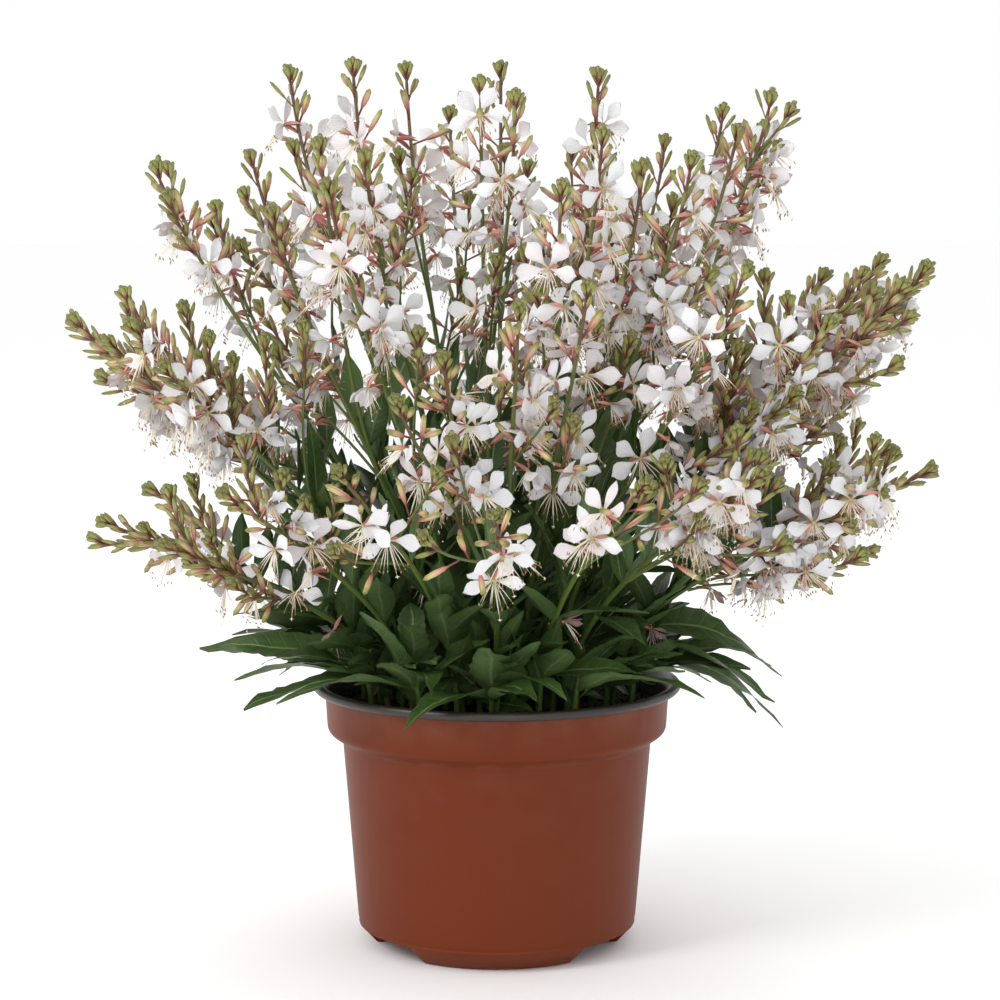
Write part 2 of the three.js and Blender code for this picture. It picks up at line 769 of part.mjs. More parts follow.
// Whether a solid is one body whose corners all lie well apart.
function isSound(manifold) {
  const { vertProperties } = manifold.getMesh();
  const places = new Set();
  for (let i = 0; i < vertProperties.length; i += 3) {
    const corner = vertProperties.slice(i, i + 3);
    places.add([...corner].map((value) => Math.round(value / closestCorners)).join());
  }
  return places.size === vertProperties.length / 3 && manifold.decompose().length === 1;
}

// One body from pieces that grow from each other, with the joins between them smoothed.
function fuse(pieces) {
  const whole = wasm.Manifold.union(pieces);
  const versions = smoothings.map((smoothing) => whole.simplify(smoothing));
  return versions.find(isSound) ?? whole;
}

const group = new THREE.Group();
group.add(toMesh("pot", makePot()));
group.add(toMesh("soil", makeSoil(feet)));
for (const plant of plants) {
  group.add(toMesh(plant.name, fuse(plant.solids)));
}

export default group;
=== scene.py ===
# Potted gaura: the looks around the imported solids.
# Stems, blooms, buds and leaves grow by the same rule as the solids, in millimetres.
# The finished meshes are in metres, with -Y as the front.

import json
import math

import bpy
import numpy as np
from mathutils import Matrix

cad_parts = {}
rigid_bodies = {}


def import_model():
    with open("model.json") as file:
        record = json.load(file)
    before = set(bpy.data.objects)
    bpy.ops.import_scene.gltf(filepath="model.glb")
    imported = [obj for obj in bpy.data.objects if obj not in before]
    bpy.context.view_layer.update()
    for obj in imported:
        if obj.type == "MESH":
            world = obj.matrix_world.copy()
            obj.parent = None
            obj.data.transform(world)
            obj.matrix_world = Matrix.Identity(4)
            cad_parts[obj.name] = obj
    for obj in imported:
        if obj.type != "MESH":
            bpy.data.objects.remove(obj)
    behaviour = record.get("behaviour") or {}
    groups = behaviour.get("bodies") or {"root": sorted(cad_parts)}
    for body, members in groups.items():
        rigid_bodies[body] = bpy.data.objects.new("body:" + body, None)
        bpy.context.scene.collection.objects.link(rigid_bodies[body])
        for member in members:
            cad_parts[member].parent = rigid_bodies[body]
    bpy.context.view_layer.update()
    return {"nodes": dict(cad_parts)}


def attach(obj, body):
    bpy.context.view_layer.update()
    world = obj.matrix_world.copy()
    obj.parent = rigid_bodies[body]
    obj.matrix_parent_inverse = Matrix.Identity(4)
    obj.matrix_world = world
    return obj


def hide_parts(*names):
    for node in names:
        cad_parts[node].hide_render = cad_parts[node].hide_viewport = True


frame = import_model()
print("solids loaded:", len(frame["nodes"]))

mm = 0.001
degree = math.pi / 180
goldenTurn = 2.399963
fullTurn = 6.28
up = np.array([0.0, 0.0, 1.0])


def vec(x, y, z):
    return np.array([x, y, z], float)


def unit(v):
    return v / math.sqrt(v.dot(v))


def chance(a, b, c):  # a repeatable number from 0 to 1
    value = math.sin(a * 12.9898 + b * 78.233 + c * 37.719 + 1.7) * 43758.5453
    return value - math.floor(value)


def polar(radius, angle, height=0.0):
    return vec(radius * math.cos(angle), radius * math.sin(angle), height)


def newMesh(name, corners, edges, faces):
    mesh = bpy.data.meshes.new(name)
    mesh.from_pydata(corners, edges, faces)
    return mesh


def addObject(name, data):
    thing = bpy.data.objects.new(name, data)
    bpy.context.scene.collection.objects.link(thing)
    return thing


def evaluatedMesh(thing, name):
    depsgraph = bpy.context.evaluated_depsgraph_get()
    mesh = bpy.data.meshes.new_from_object(thing.evaluated_get(depsgraph), preserve_all_data_layers=True,
                                           depsgraph=depsgraph)
    mesh.name = name
    return mesh


# Camera and studio

studio = {
    "cameraPlace": (0.0016, -1.3584, 0.3775),
    "cameraTilt": 83.75,  # degrees from looking straight down
    "lens": 95.9, "sensorWidth": 36, "nearest": 0.05,
    "skyColour": (1.0, 1.0, 1.0), "skyStrength": 1.0,
    "floorColour": (0.99, 0.99, 0.99), "floorRoughness": 0.9,
    "floorReach": 30, "floorHeight": -0.0005,
    "aimHeight": 0.26,
    "lamps": [  # place, size and power
        ((-1.8, -1.3, 1.7), 0.8, 25),
        ((0.2, -2.3, 0.8), 1.6, 6),
        ((0.3, 1.2, 2.2), 1.4, 6),
    ],
}


def setStudio():
    scene = bpy.context.scene
    camera = addObject("studioCamera", bpy.data.cameras.new("studioCamera"))
    camera.data.lens = studio["lens"]
    camera.data.sensor_width = studio["sensorWidth"]
    camera.data.clip_start = studio["nearest"]
    camera.location = studio["cameraPlace"]
    camera.rotation_euler = (studio["cameraTilt"] * degree, 0, 0)
    scene.camera = camera
    scene.view_settings.view_transform = "Standard"
    world = bpy.data.worlds.new("studioSky")
    world.use_nodes = True
    sky = world.node_tree.nodes["Background"]
    sky.inputs["Color"].default_value = (*studio["skyColour"], 1)
    sky.inputs["Strength"].default_value = studio["skyStrength"]
    scene.world = world
    for i, (place, size, power) in enumerate(studio["lamps"]):
        lamp = addObject(f"lamp{i}", bpy.data.lights.new(f"lamp{i}", "AREA"))
        lamp.data.size = size
        lamp.data.energy = power
        lamp.location = place
        aim = np.array([0, 0, studio["aimHeight"]]) - np.array(place)
        flat = math.hypot(aim[0], aim[1])
        lamp.rotation_euler = (math.atan2(flat, -aim[2]), 0, math.atan2(-aim[0], aim[1]))
    reach, height = studio["floorReach"], studio["floorHeight"]
    corners = [(x * reach, y * reach, height) for x, y in ((-1, -1), (1, -1), (1, 1), (-1, 1))]
    floor = addObject("studioFloor", newMesh("studioFloor", corners, [], [(0, 1, 2, 3)]))
    paint = bpy.data.materials.new("floorPaint")
    paint.use_nodes = True
    shader = paint.node_tree.nodes["Principled BSDF"]
    shader.inputs["Base Color"].default_value = (*studio["floorColour"], 1)
    shader.inputs["Roughness"].default_value = studio["floorRoughness"]
    floor.data.materials.append(paint)


setStudio()
print("camera and studio set")


# The growth rule, in millimetres

growth = {
    "lipRadius": 95, "lipTop": 135.5, "soilHeight": 123.5, "holeDepth": 12,
    "stemFoot": 2.3, "sideFoot": 1.5, "stemTip": 1.1, "stemSegments": 4, "sideSegments": 3,
    "crownHeight": 128, "crownRadius": 64, "crownSink": 2,
    "baseSpacing": 11.5, "feetSpread": 1.05, "innerMargin": 4,
    "pushRounds": 60, "pushShare": 0.25, "leastApart": 0.01,
    "fullLean": 50,  # degrees from which a tip leans as far as its stem
    "soilClearReach": 85, "clearance": 1.2, "lipClearance": 1, "lineBallStep": 4, "lineMargin": 1,
    "shootLean": 0.16, "shootFootStraight": 0.4, "shootTipStraight": 0.3,
    "footStraight": 0.32, "tipStraight": 0.36, "sideStraight": 0.3, "forkShare": 0.42,
    "petalLength": 14, "petalAngles": (-102, -38, 38, 102), "tubeRise": 6, "tubeReach": 8,
    "stamenLength": 14, "firstBloom": 44, "bloomStep": 17,
    "budsPerSpike": 3, "budStep": 12, "budHalfWidth": 1.9, "rootSink": 0.3,
    # Balls that keep a bloom clear: part of the petal's length and radius
    "petalBalls": ((0.32, 3.2), (0.6, 5.2), (0.9, 3)),
}
bloomPose = {
    "trials": 18, "trialShift": 2.2, "trialTurn": 67, "jitter": 6, "firstTurn": 90, "turnReach": 130,
    "turnStep": 0.618, "faceAway": 0.8, "faceOutward": 0.55, "faceUp": 0.12, "size": 0.94, "sizeRange": 0.14,
    "smallerAfter": 11, "smallerBy": 0.14, "rollRange": 40, "cup": 0.1, "cupRange": 0.25,
}
budPose = {
    "trials": 6, "first": 3, "jitter": 3, "length": 8, "lengthStep": 3.4, "spread": 0.5, "spreadStep": 0.08,
    "width": 0.8, "widthStep": 0.08, "ages": (0.25, 0.62, 0.95),
}
shootLeaf = {
    "trials": 14, "first": 0.25, "span": 0.7, "firstTurn": 90, "turnStep": 26, "trialTurn": 23, "jitter": 5,
    "jitterRange": 9, "lift": 10, "liftStep": 11, "liftRange": 14, "length": 84, "lengthStep": 6,
    "trialLength": 2, "width": 0.14, "droop": 0.44, "stations": 4,
}
stemLeaf = {
    "trials": 10, "count": 2, "first": 0.16, "step": 0.13, "lift": 32, "liftRange": 34, "length": 58,
    "lengthStep": 10, "width": 0.14, "droop": 0.2, "stations": 2,
}

# Tip and number of blooms of each spray, then the same for its side spike
sprays = [
    [-172, -10, 398, 2, -150, 45, 372, 2], [-130, 60, 405, 3],
    [-109, -62, 376, 3, -84, -94, 408, 2], [-108, 40, 448, 3], [-78, -124, 388, 3],
    [-73, 5, 450, 3, -64, -60, 403, 3], [-48, 62, 451, 2], [-26, 112, 430, 3],
    [-8, -22, 440, 3, 9, -72, 431, 3], [2, 50, 451, 2], [52, 18, 446, 3],
    [50, -92, 412, 3, 30, -124, 387, 2], [71, -60, 398, 3], [89, 62, 413, 3],
    [93, -82, 401, 3], [118, 40, 428, 3, 142, 82, 420, 2], [119, -32, 416, 3],
    [139, 2, 434, 3], [116, -122, 350, 4], [163, -62, 323, 3],
    [186, -4, 345, 3, 173, 58, 343, 2], [202, -36, 340, 2],
    [221, 10, 347, 3, 206, 70, 350, 2], [222, -6, 245, 3, 208, 48, 251, 2],
    [188, -66, 239, 3], [-219, 18, 320, 3, -196, 64, 326, 2], [-192, -42, 312, 3],
    [-176, -80, 322, 2], [-200, -14, 219, 3, -184, 46, 230, 2], [-163, -66, 214, 3],
    [-129, -108, 244, 3], [-24, -150, 310, 3, -44, -178, 292, 2], [10, -162, 333, 3],
    [42, -138, 342, 2], [-70, -186, 262, 3], [66, -196, 258, 3], [0, -219, 246, 3],
    [122, -152, 258, 3], [-112, 168, 312, 3], [-16, 192, 334, 2, 12, 219, 262, 2],
    [88, 182, 300, 3], [158, 132, 290, 2], [-162, 128, 278, 2], [-72, 122, 408, 2],
    [62, 132, 404, 2],
]

# Azimuth, distance, height and number of large leaves of each leafy shoot
shoots = [
    [-92, 71.5, 34, 6], [-58, 72.5, 30, 6], [-122, 71.5, 38, 6], [-17, 71.5, 44, 6],
    [14, 71.5, 40, 5], [50, 72.5, 36, 5], [90, 71.5, 34, 5], [130, 72.5, 36, 5],
    [166, 71.5, 40, 6], [-152, 71.5, 34, 6], [-75, 50, 62, 6],
]

traceShares = np.linspace(0, 1, 201)


class GrowingLine:
    def __init__(self, controls, segments, radii, sideways):
        self.controls = np.array(controls, float)
        steps = np.linalg.norm(np.diff(self.curve(traceShares), axis=0), axis=1)
        self.trace = np.concatenate([[0], np.cumsum(steps)])
        self.length = float(self.trace[-1])
        self.segments = segments
        self.radii = radii
        self.sideways = sideways
        self.isTwig = False
        self.corners = self.smooth(np.arange(segments + 1) / segments)

    def curve(self, share):
        t = np.atleast_1d(share)[:, None]
        a, b, c, d = self.controls
        return (1 - t) ** 3 * a + 3 * (1 - t) ** 2 * t * b + 3 * (1 - t) * t ** 2 * c + t ** 3 * d

    def smooth(self, part):
        return self.curve(np.interp(np.asarray(part) * self.length, self.trace, traceShares))

    def radius(self, distance):
        return self.radii[0] + (self.radii[1] - self.radii[0]) * distance / self.length

    def at(self, distance):
        part = min(max(distance / self.length, 0), 1)
        piece = min(int(part * self.segments), self.segments - 1)
        share = float(np.interp(part * self.length, self.trace, traceShares))
        ends = self.curve([max(share - 0.0001, 0), min(share + 0.0001, 1)])
        along = unit(ends[1] - ends[0])
        across = unit(self.sideways - along * self.sideways.dot(along))
        rest = part * self.segments - piece
        point = self.corners[piece] * (1 - rest) + self.corners[piece + 1] * rest
        return {"point": point, "along": along, "across": across, "outward": np.cross(across, along),
                "smooth": self.smooth(part)[0]}


class TakenRoom:
    def __init__(self):
        self.balls = np.zeros((60000, 5))  # rows of place, radius and owner, with room to spare
        self.count = 0

    def claim(self, balls, owner):
        n = len(balls)
        self.balls[self.count:self.count + n, :4] = balls
        self.balls[self.count:self.count + n, 4] = owner
        self.count += n

    def isClear(self, balls, owner, ease=1.0):
        balls = np.asarray(balls, float)
        x, y, z, r = balls.T
        distance = np.hypot(x, y)
        clearance = growth["clearance"]
        aboveSoil = (distance + r < growth["soilClearReach"]) & (z - r > growth["soilHeight"] + clearance)
        overLip = growth["lipTop"] + growth["lipClearance"]
        low = (z - r < overLip) & (distance - r < growth["lipRadius"] + clearance)
        if np.any(low & ~aboveSoil):
            return False
        others = self.balls[:self.count]
        others = others[others[:, 4] != owner]
        middle = balls[:, :3].mean(axis=0)
        spread = np.abs(balls[:, :3] - middle).max() * 1.8 + r.max() + 8  # farther balls can't touch
        others = others[np.abs(others[:, :3] - middle).max(axis=1) < spread]
        gaps = np.linalg.norm(balls[:, None, :3] - others[None, :, :3], axis=2)
        return not np.any(gaps <= (r[:, None] + others[None, :, 3]) * ease)


taken = TakenRoom()


def ball(point, radius):
    return (*point, radius)


def claimLine(line, owner):
    count = math.ceil(line.length / growth["lineBallStep"])
    for i in range(count + 1):
        distance = line.length * i / count
        radius = line.radius(distance) + growth["lineMargin"]
        taken.claim([ball(line.at(distance)["point"], radius)], owner)


def placeFeet():
    feet = []
    most = growth["crownRadius"]
    for row in sprays:
        x, y, z = row[:3]
        lean = math.atan2(math.hypot(x, y), z - growth["crownHeight"])
        distance = min(growth["feetSpread"] * most * math.sin(lean), most - growth["innerMargin"])
        azimuth = math.atan2(y, x)
        feet.append([distance * math.cos(azimuth), distance * math.sin(azimuth), False])
    for azimuth, distance, _, _ in shoots:
        feet.append([distance * math.cos(azimuth * degree), distance * math.sin(azimuth * degree), True])
    spacing = growth["baseSpacing"]
    for _ in range(growth["pushRounds"]):
        for i, foot in enumerate(feet):
            if foot[2]:
                continue
            for j, other in enumerate(feet):
                apart = math.hypot(foot[0] - other[0], foot[1] - other[1])
                if i != j and apart < spacing:
                    push = growth["pushShare"] * (spacing - apart) / (apart + growth["leastApart"])
                    foot[0] += (foot[0] - other[0]) * push
                    foot[1] += (foot[1] - other[1]) * push
            distance = math.hypot(foot[0], foot[1])
            if distance > most:
                foot[0] *= most / distance
                foot[1] *= most / distance
    return feet


def tipDirection(x, y, z):
    steepness = math.atan2(math.hypot(x, y), z - growth["crownHeight"]) / degree
    lean = min(steepness, steepness * steepness / growth["fullLean"]) * degree
    azimuth = math.atan2(y, x)
    return vec(math.sin(lean) * math.cos(azimuth), math.sin(lean) * math.sin(azimuth), math.cos(lean))


def makeSprayLines(row, foot):
    tip = vec(*row[:3])
    start = vec(foot[0], foot[1], growth["crownHeight"] - growth["crownSink"])
    span = np.linalg.norm(tip - start)
    azimuth = math.atan2(row[1], row[0])
    sideways = vec(-math.sin(azimuth), math.cos(azimuth), 0)
    controls = [start, start + up * growth["footStraight"] * span,
                tip - tipDirection(*row[:3]) * growth["tipStraight"] * span, tip]
    main = GrowingLine(controls, growth["stemSegments"], (growth["stemFoot"], growth["stemTip"]), sideways)
    main.blooms = row[3]
    lines = [main]
    if len(row) > 4:
        sideTip = vec(*row[4:7])
        fork = main.at(main.length * growth["forkShare"])
        span = np.linalg.norm(sideTip - fork["point"])
        controls = [fork["point"], fork["point"] + fork["along"] * growth["sideStraight"] * span,
                    sideTip - tipDirection(*row[4:7]) * growth["tipStraight"] * span, sideTip]
        radii = (growth["sideFoot"], growth["stemTip"])
        side = GrowingLine(controls, growth["sideSegments"], radii, sideways)
        side.blooms = row[7]
        lines.append(side)
    return lines


def around(place, angle):
    return place["across"] * math.cos(angle) + place["outward"] * math.sin(angle)


def poseBloom(line, down, index, owner, trial):
    look = bloomPose
    shift = look["trialShift"] * math.ceil(trial / 2) * (1 if trial % 2 else -1)
    jitter = look["jitter"] * (chance(owner, index, 1) - 0.5)
    distance = line.length - growth["firstBloom"] - growth["bloomStep"] * down - jitter - shift
    place = line.at(distance)
    swing = 2 * ((index * look["turnStep"] + chance(owner, index, 2)) % 1) - 1
    turn = (look["firstTurn"] + look["turnReach"] * swing + look["trialTurn"] * trial) * degree
    away = around(place, turn)
    outward = unit(vec(place["point"][0], place["point"][1], 0))
    face = unit(away * look["faceAway"] + outward * look["faceOutward"] + up * look["faceUp"])
    smaller = look["smallerBy"] if trial > look["smallerAfter"] else 0
    size = look["size"] + look["sizeRange"] * chance(owner, index, 3) - smaller
    roll = look["rollRange"] * (chance(owner, index, 4) - 0.5) * degree
    upright = unit(up - face * face[2])
    top = upright * math.cos(roll) + np.cross(face, upright) * math.sin(roll)
    centre = place["point"] + away * growth["tubeReach"] * size + place["along"] * growth["tubeRise"] * size
    return {"root": place["point"] - unit(centre - place["point"]) * growth["rootSink"],
            "centre": centre, "face": face, "top": top, "across": np.cross(face, top), "size": size,
            "cup": look["cup"] + look["cupRange"] * chance(owner, index, 5),
            "place": place, "away": away, "seed": (owner, index)}


def petalDirection(bloom, angle):
    return bloom["top"] * math.cos(angle * degree) + bloom["across"] * math.sin(angle * degree)


def bloomBalls(bloom):
    centre, face, size = bloom["centre"], bloom["face"], bloom["size"]
    balls = [ball(centre, 3)]
    for angle in growth["petalAngles"]:
        direction = petalDirection(bloom, angle)
        for part, radius in growth["petalBalls"]:
            length = part * growth["petalLength"] * size
            balls.append(ball(centre + direction * length + face * bloom["cup"] * length, radius))
    for part in (0.5, 1):
        length = growth["stamenLength"] * size * part
        balls.append(ball(centre + face * 0.72 * length - bloom["top"] * 0.68 * length, 1.6))
    balls.append(ball((bloom["root"] + centre) / 2, 2))
    return balls


def poseBud(line, index, owner, trial):
    look = budPose
    gap = look["first"] + growth["budStep"] * index
    place = line.at(line.length - gap - look["jitter"] * chance(owner, index, 6))
    away = around(place, goldenTurn * (index + trial) + fullTurn * chance(owner, 9, 7))
    length = look["length"] + look["lengthStep"] * index
    spread = look["spread"] + look["spreadStep"] * index
    tip = place["point"] + away * spread * length + place["along"] * length
    return {"root": place["point"] - unit(tip - place["point"]) * growth["rootSink"], "tip": tip,
            "halfWidth": growth["budHalfWidth"] * (look["width"] + look["widthStep"] * index),
            "age": look["ages"][index], "place": place, "away": away, "shape": 0}


def budBalls(bud):
    return [ball(bud["root"] * (1 - part) + bud["tip"] * part, 1.9) for part in (0.4, 0.65, 0.95)]


def leafBalls(leaf):
    balls = []
    count = leaf["stations"] + 2
    for i in range(1, count + 1):
        part = (i + 0.3) / (count + 0.3)
        width = leaf["width"] * math.sin(math.pi * part ** 0.85) ** 0.8 + 0.3
        middle = (leaf["root"] + leaf["direction"] * leaf["length"] * part
                  - up * leaf["droop"] * leaf["length"] * part * part)
        for side in ((-0.62, 0, 0.62) if width > 6 else (0,)):
            balls.append(ball(middle + leaf["side"] * side * width, 0.5 * width if width > 6 else width))
    return balls


def poseLeaf(place, turn, lift, length, width, droop, stations):
    away = around(place, turn)
    direction = unit(away * math.cos(lift) + up * math.sin(lift))
    side = unit(np.cross(direction, up))
    return {"root": place["point"] - direction * growth["rootSink"], "direction": direction, "side": side,
            "length": length, "width": width, "droop": droop, "stations": stations, "place": place}


def firstClear(trials, pose, balls, owner, ease=1.0):
    for trial in range(trials):
        thing = pose(trial)
        place = balls(thing)
        if taken.isClear(place, owner, ease):
            taken.claim(place, owner)
            return thing
    return None


def sectorOf(x, y):
    angle = math.atan2(y, x) / degree
    return ("right", "back", "left", "front")[int(((angle + 45) % 360) // 90)]


def makeSpray(i, row, foot):
    return {"node": f"spray_{i + 1:02d}", "owner": i, "foot": foot, "leafCount": 0,
            "lines": makeSprayLines(row, foot), "sector": sectorOf(row[0], row[1])}


def makeShoot(i, row, foot):
    azimuth, _, height, leafCount = row
    start = vec(foot[0], foot[1], growth["crownHeight"] - growth["crownSink"])
    outward = polar(1, azimuth * degree)
    tip = start + outward * growth["shootLean"] * height + up * height
    controls = [start, start + up * growth["shootFootStraight"] * height,
                tip - up * growth["shootTipStraight"] * height, tip]
    sideways = vec(-outward[1], outward[0], 0)
    line = GrowingLine(controls, 2, (growth["stemFoot"], growth["stemTip"]), sideways)
    return {"node": f"leafy_shoot_{i + 1:02d}", "owner": len(sprays) + i, "foot": foot,
            "leafCount": leafCount, "lines": [line], "sector": sectorOf(foot[0], foot[1])}


def shootLeafPose(line, index, count, owner, trial):
    look = shootLeaf
    place = line.at(line.length * (look["first"] + look["span"] * index / count))
    jitter = look["jitter"] + look["jitterRange"] * chance(owner, index, 10)
    side = 1 if index % 2 else -1
    turn = look["firstTurn"] + side * look["turnStep"] * index + look["trialTurn"] * trial + jitter
    lift = look["lift"] + look["liftStep"] * index + look["liftRange"] * chance(owner, index, trial)
    length = look["length"] - look["lengthStep"] * index - look["trialLength"] * trial
    return poseLeaf(place, turn * degree, lift * degree, length, look["width"] * length, look["droop"],
                    look["stations"])


def stemLeafPose(line, index, owner, trial):
    look = stemLeaf
    place = line.at(line.length * (look["first"] + look["step"] * index))
    turn = goldenTurn * (index + trial) + fullTurn * chance(owner, index, 8)
    lift = (look["lift"] + look["liftRange"] * chance(owner, index, 9)) * degree
    length = look["length"] - look["lengthStep"] * index - trial
    return poseLeaf(place, turn, lift, length, look["width"] * length, look["droop"], look["stations"])


def layOut():
    feet = placeFeet()
    plants = [makeSpray(i, row, feet[i]) for i, row in enumerate(sprays)]
    plants += [makeShoot(i, row, feet[len(sprays) + i]) for i, row in enumerate(shoots)]
    for plant in plants:
        plant.update(blooms=[], buds=[], leaves=[])
        for line in plant["lines"]:
            claimLine(line, plant["owner"])

    def grow(kind, trials, pose, balls):
        thing = firstClear(trials, pose, balls, plant["owner"])
        if thing:
            plant[kind].append(thing)

    for plant in plants[:len(sprays)]:
        for which, line in enumerate(plant["lines"]):
            for down in range(line.blooms):
                grow("blooms", bloomPose["trials"],
                     lambda trial: poseBloom(line, down, down + 4 * which, plant["owner"], trial), bloomBalls)
    for plant in plants[:len(sprays)]:
        for line in plant["lines"]:
            for index in range(growth["budsPerSpike"]):
                grow("buds", budPose["trials"],
                     lambda trial: poseBud(line, index, plant["owner"], trial), budBalls)
    for plant in plants[len(sprays):]:
        line, count = plant["lines"][0], plant["leafCount"]
        for index in range(count):
            grow("leaves", shootLeaf["trials"],
                 lambda trial: shootLeafPose(line, index, count, plant["owner"], trial), leafBalls)
    for plant in plants[:len(sprays)]:
        line = plant["lines"][0]
        for index in range(stemLeaf["count"] + plant["owner"] % 2):
            grow("leaves", stemLeaf["trials"],
                 lambda trial: stemLeafPose(line, index, plant["owner"], trial), leafBalls)
    return plants


def total(kind, among):
    return sum(len(plant[kind]) for plant in among)


plants = layOut()
flowering = plants[:len(sprays)]
print(f"laid out: {total('blooms', plants)} blooms, {total('buds', plants)} buds,",
      f"{total('leaves', plants)} leaves")


# More buds, twigs, flowers and leaves, where there is room

stalked, crown, seated = range(3)  # kinds of bud

filling = {
    "budGap": 2.2, "budTrials": 5, "sparseAbove": 392, "inwardShare": 0.75,
    # Share of the room around a thing that has to be free
    "budEase": 0.6, "bloomEase": {"usual": 0.92, "sunny": 0.8, "spent": 0.85, "withered": 0.8},
    "oldBuds": 6, "oldTwigBuds": 3,
    "twigs": 2, "sideTwigs": 4, "sideSprays": 120, "twigReach": (218, 218, 440),
    "lowestBloom": 228, "lowestSpent": 224, "lowestAtSides": 160, "lowSpray": 372,
    "twigBlooms": 0.6, "withered": 0.5, "trialLength": 3, "leafTrials": 8,
    # Flowers stand lower down the stems on the sunny side, where the tip's x is more than sunnySide
    "sunnySide": 40, "shadyLowest": 176, "shadyRaise": 36, "middleSprays": 62,
    "farOut": 120, "lowestInside": 204,  # only flowers this far to the right stand lower than that
    "bareTips": 0.4,  # share of the tall spikes that have no flower close to the tip
    "drooping": {"twigs": 3, "below": 270, "down": -0.25},  # more twigs on the low sprays of the sunny side
    "forward": {"beyond": -100, "share": 0.4, "oldBuds": 3},  # sprays that point to the front
}


headPose = {  # the crowded tip of a spike
    "count": 11, "reach": 8.4, "tipGap": 0.2, "length": 3.4, "lengthStep": 0.2, "lengthRange": 1.6,
    "spread": 0.4, "spreadStep": 0.38, "spreadRange": 0.06, "halfWidth": 1.16, "age": 0.02, "ageStep": 0.01,
}
youngDense = {"count": 14, "first": 9.0, "step": 3.2, "length": 9.6, "spread": 0.3, "kind": seated}
youngSparse = {"count": 6, "first": 12, "step": 5.6, "length": 12, "spread": 0.46, "kind": stalked}
youngPose = {
    "trialTurn": 1.3, "lengthStep": 0.34, "lengthRange": 3.2, "spreadStep": 0.01, "spreadRange": 0.4,
    "halfWidth": 1.12, "widthStep": 0.02, "age": 0.2, "ageStep": 0.03,
}
oldPose = {
    "first": 29, "step": 5.4, "jitter": 3.0, "lower": 6, "trialTurn": 1.1, "length": 16, "lengthRange": 6,
    "lift": 64, "liftRange": 50, "halfWidth": 1.5, "age": 0.85,
}
twigPose = {
    "trials": 9, "first": 0.4, "step": 0.13, "jitter": 0.12, "turnStep": 137, "turnRange": 220,
    "trialTurn": 47, "share": 0.5, "shareRange": 0.34, "shortest": 36, "longest": 92,
    "away": 0.42, "awayRange": 0.36, "along": 0.8, "rise": 0.26, "lift": 0.08, "straight": 0.35,
    "ballStep": 5, "ballRadius": 3.4,
}


def isSparse(line):
    return line.controls[3][2] > filling["sparseAbove"]


def youngOn(line):
    return youngSparse if isSparse(line) else youngDense


def budAt(place, away, tip, halfWidth, age, kind):
    return {"root": place["point"], "tip": tip, "halfWidth": halfWidth, "place": place, "away": away,
            "age": age, "shape": kind}


def headBud(line, k, owner, which):
    look = headPose
    back = look["reach"] * k / look["count"]
    place = line.at(line.length - look["tipGap"] - back)
    away = around(place, goldenTurn * k + fullTurn * chance(owner, which, 21))
    # The tips end about level, as a crown
    length = back + look["length"] - look["lengthStep"] * k + look["lengthRange"] * chance(owner, k, 22)
    spread = look["spread"] + (look["spreadStep"] + look["spreadRange"] * chance(owner, k, 20)) * k
    tip = place["point"] + away * spread + place["along"] * length
    return budAt(place, away, tip, look["halfWidth"], look["age"] + look["ageStep"] * k, crown)


def youngBud(line, k, owner, which, trial):
    look, on = youngPose, youngOn(line)
    jitter = 0.5 * on["step"] * chance(owner + 50 * which, k, 23)
    place = line.at(line.length - on["first"] - on["step"] * k - jitter)
    turn = goldenTurn * (k + 0.5) + look["trialTurn"] * trial + fullTurn * chance(owner, 9, 24 + which)
    away = around(place, turn)
    length = on["length"] + look["lengthStep"] * k + look["lengthRange"] * chance(owner, k, 25)
    spread = on["spread"] + look["spreadStep"] * k + look["spreadRange"] * chance(owner, k, 26) ** 3
    tip = place["point"] + away * spread * length + place["along"] * length
    halfWidth = look["halfWidth"] + look["widthStep"] * k
    return budAt(place, away, tip, halfWidth, look["age"] + look["ageStep"] * k, on["kind"])


def oldBud(line, k, owner, which, trial):
    look = oldPose
    gap = look["first"] + look["step"] * k + look["jitter"] * chance(owner + 50 * which, k, 27)
    place = line.at(line.length - gap - (look["lower"] if isSparse(line) else 0))
    turn = goldenTurn * (k + 0.2) + look["trialTurn"] * trial + fullTurn * chance(owner, 8, 28 + which)
    away = around(place, turn)
    length = look["length"] + look["lengthRange"] * chance(owner, k, 29)
    lift = (look["lift"] - look["liftRange"] * chance(owner + 7 * which, k, 30)) * degree
    tip = place["point"] + (away * math.cos(lift) + place["along"] * math.sin(lift)) * length
    return budAt(place, away, tip, look["halfWidth"], look["age"], stalked)


def addBuds(plant, which, line, pose, count):
    owner = plant["owner"]
    for k in range(count):
        for trial in range(filling["budTrials"]):
            bud = pose(line, k, owner, which, trial)
            tips = np.array([other["tip"] for other in plant["buds"]])
            apart = np.linalg.norm(tips - bud["tip"], axis=1).min()
            if apart > filling["budGap"] and taken.isClear(budBalls(bud), owner, filling["budEase"]):
                taken.claim(budBalls(bud), owner)
                plant["buds"].append(bud)
                break


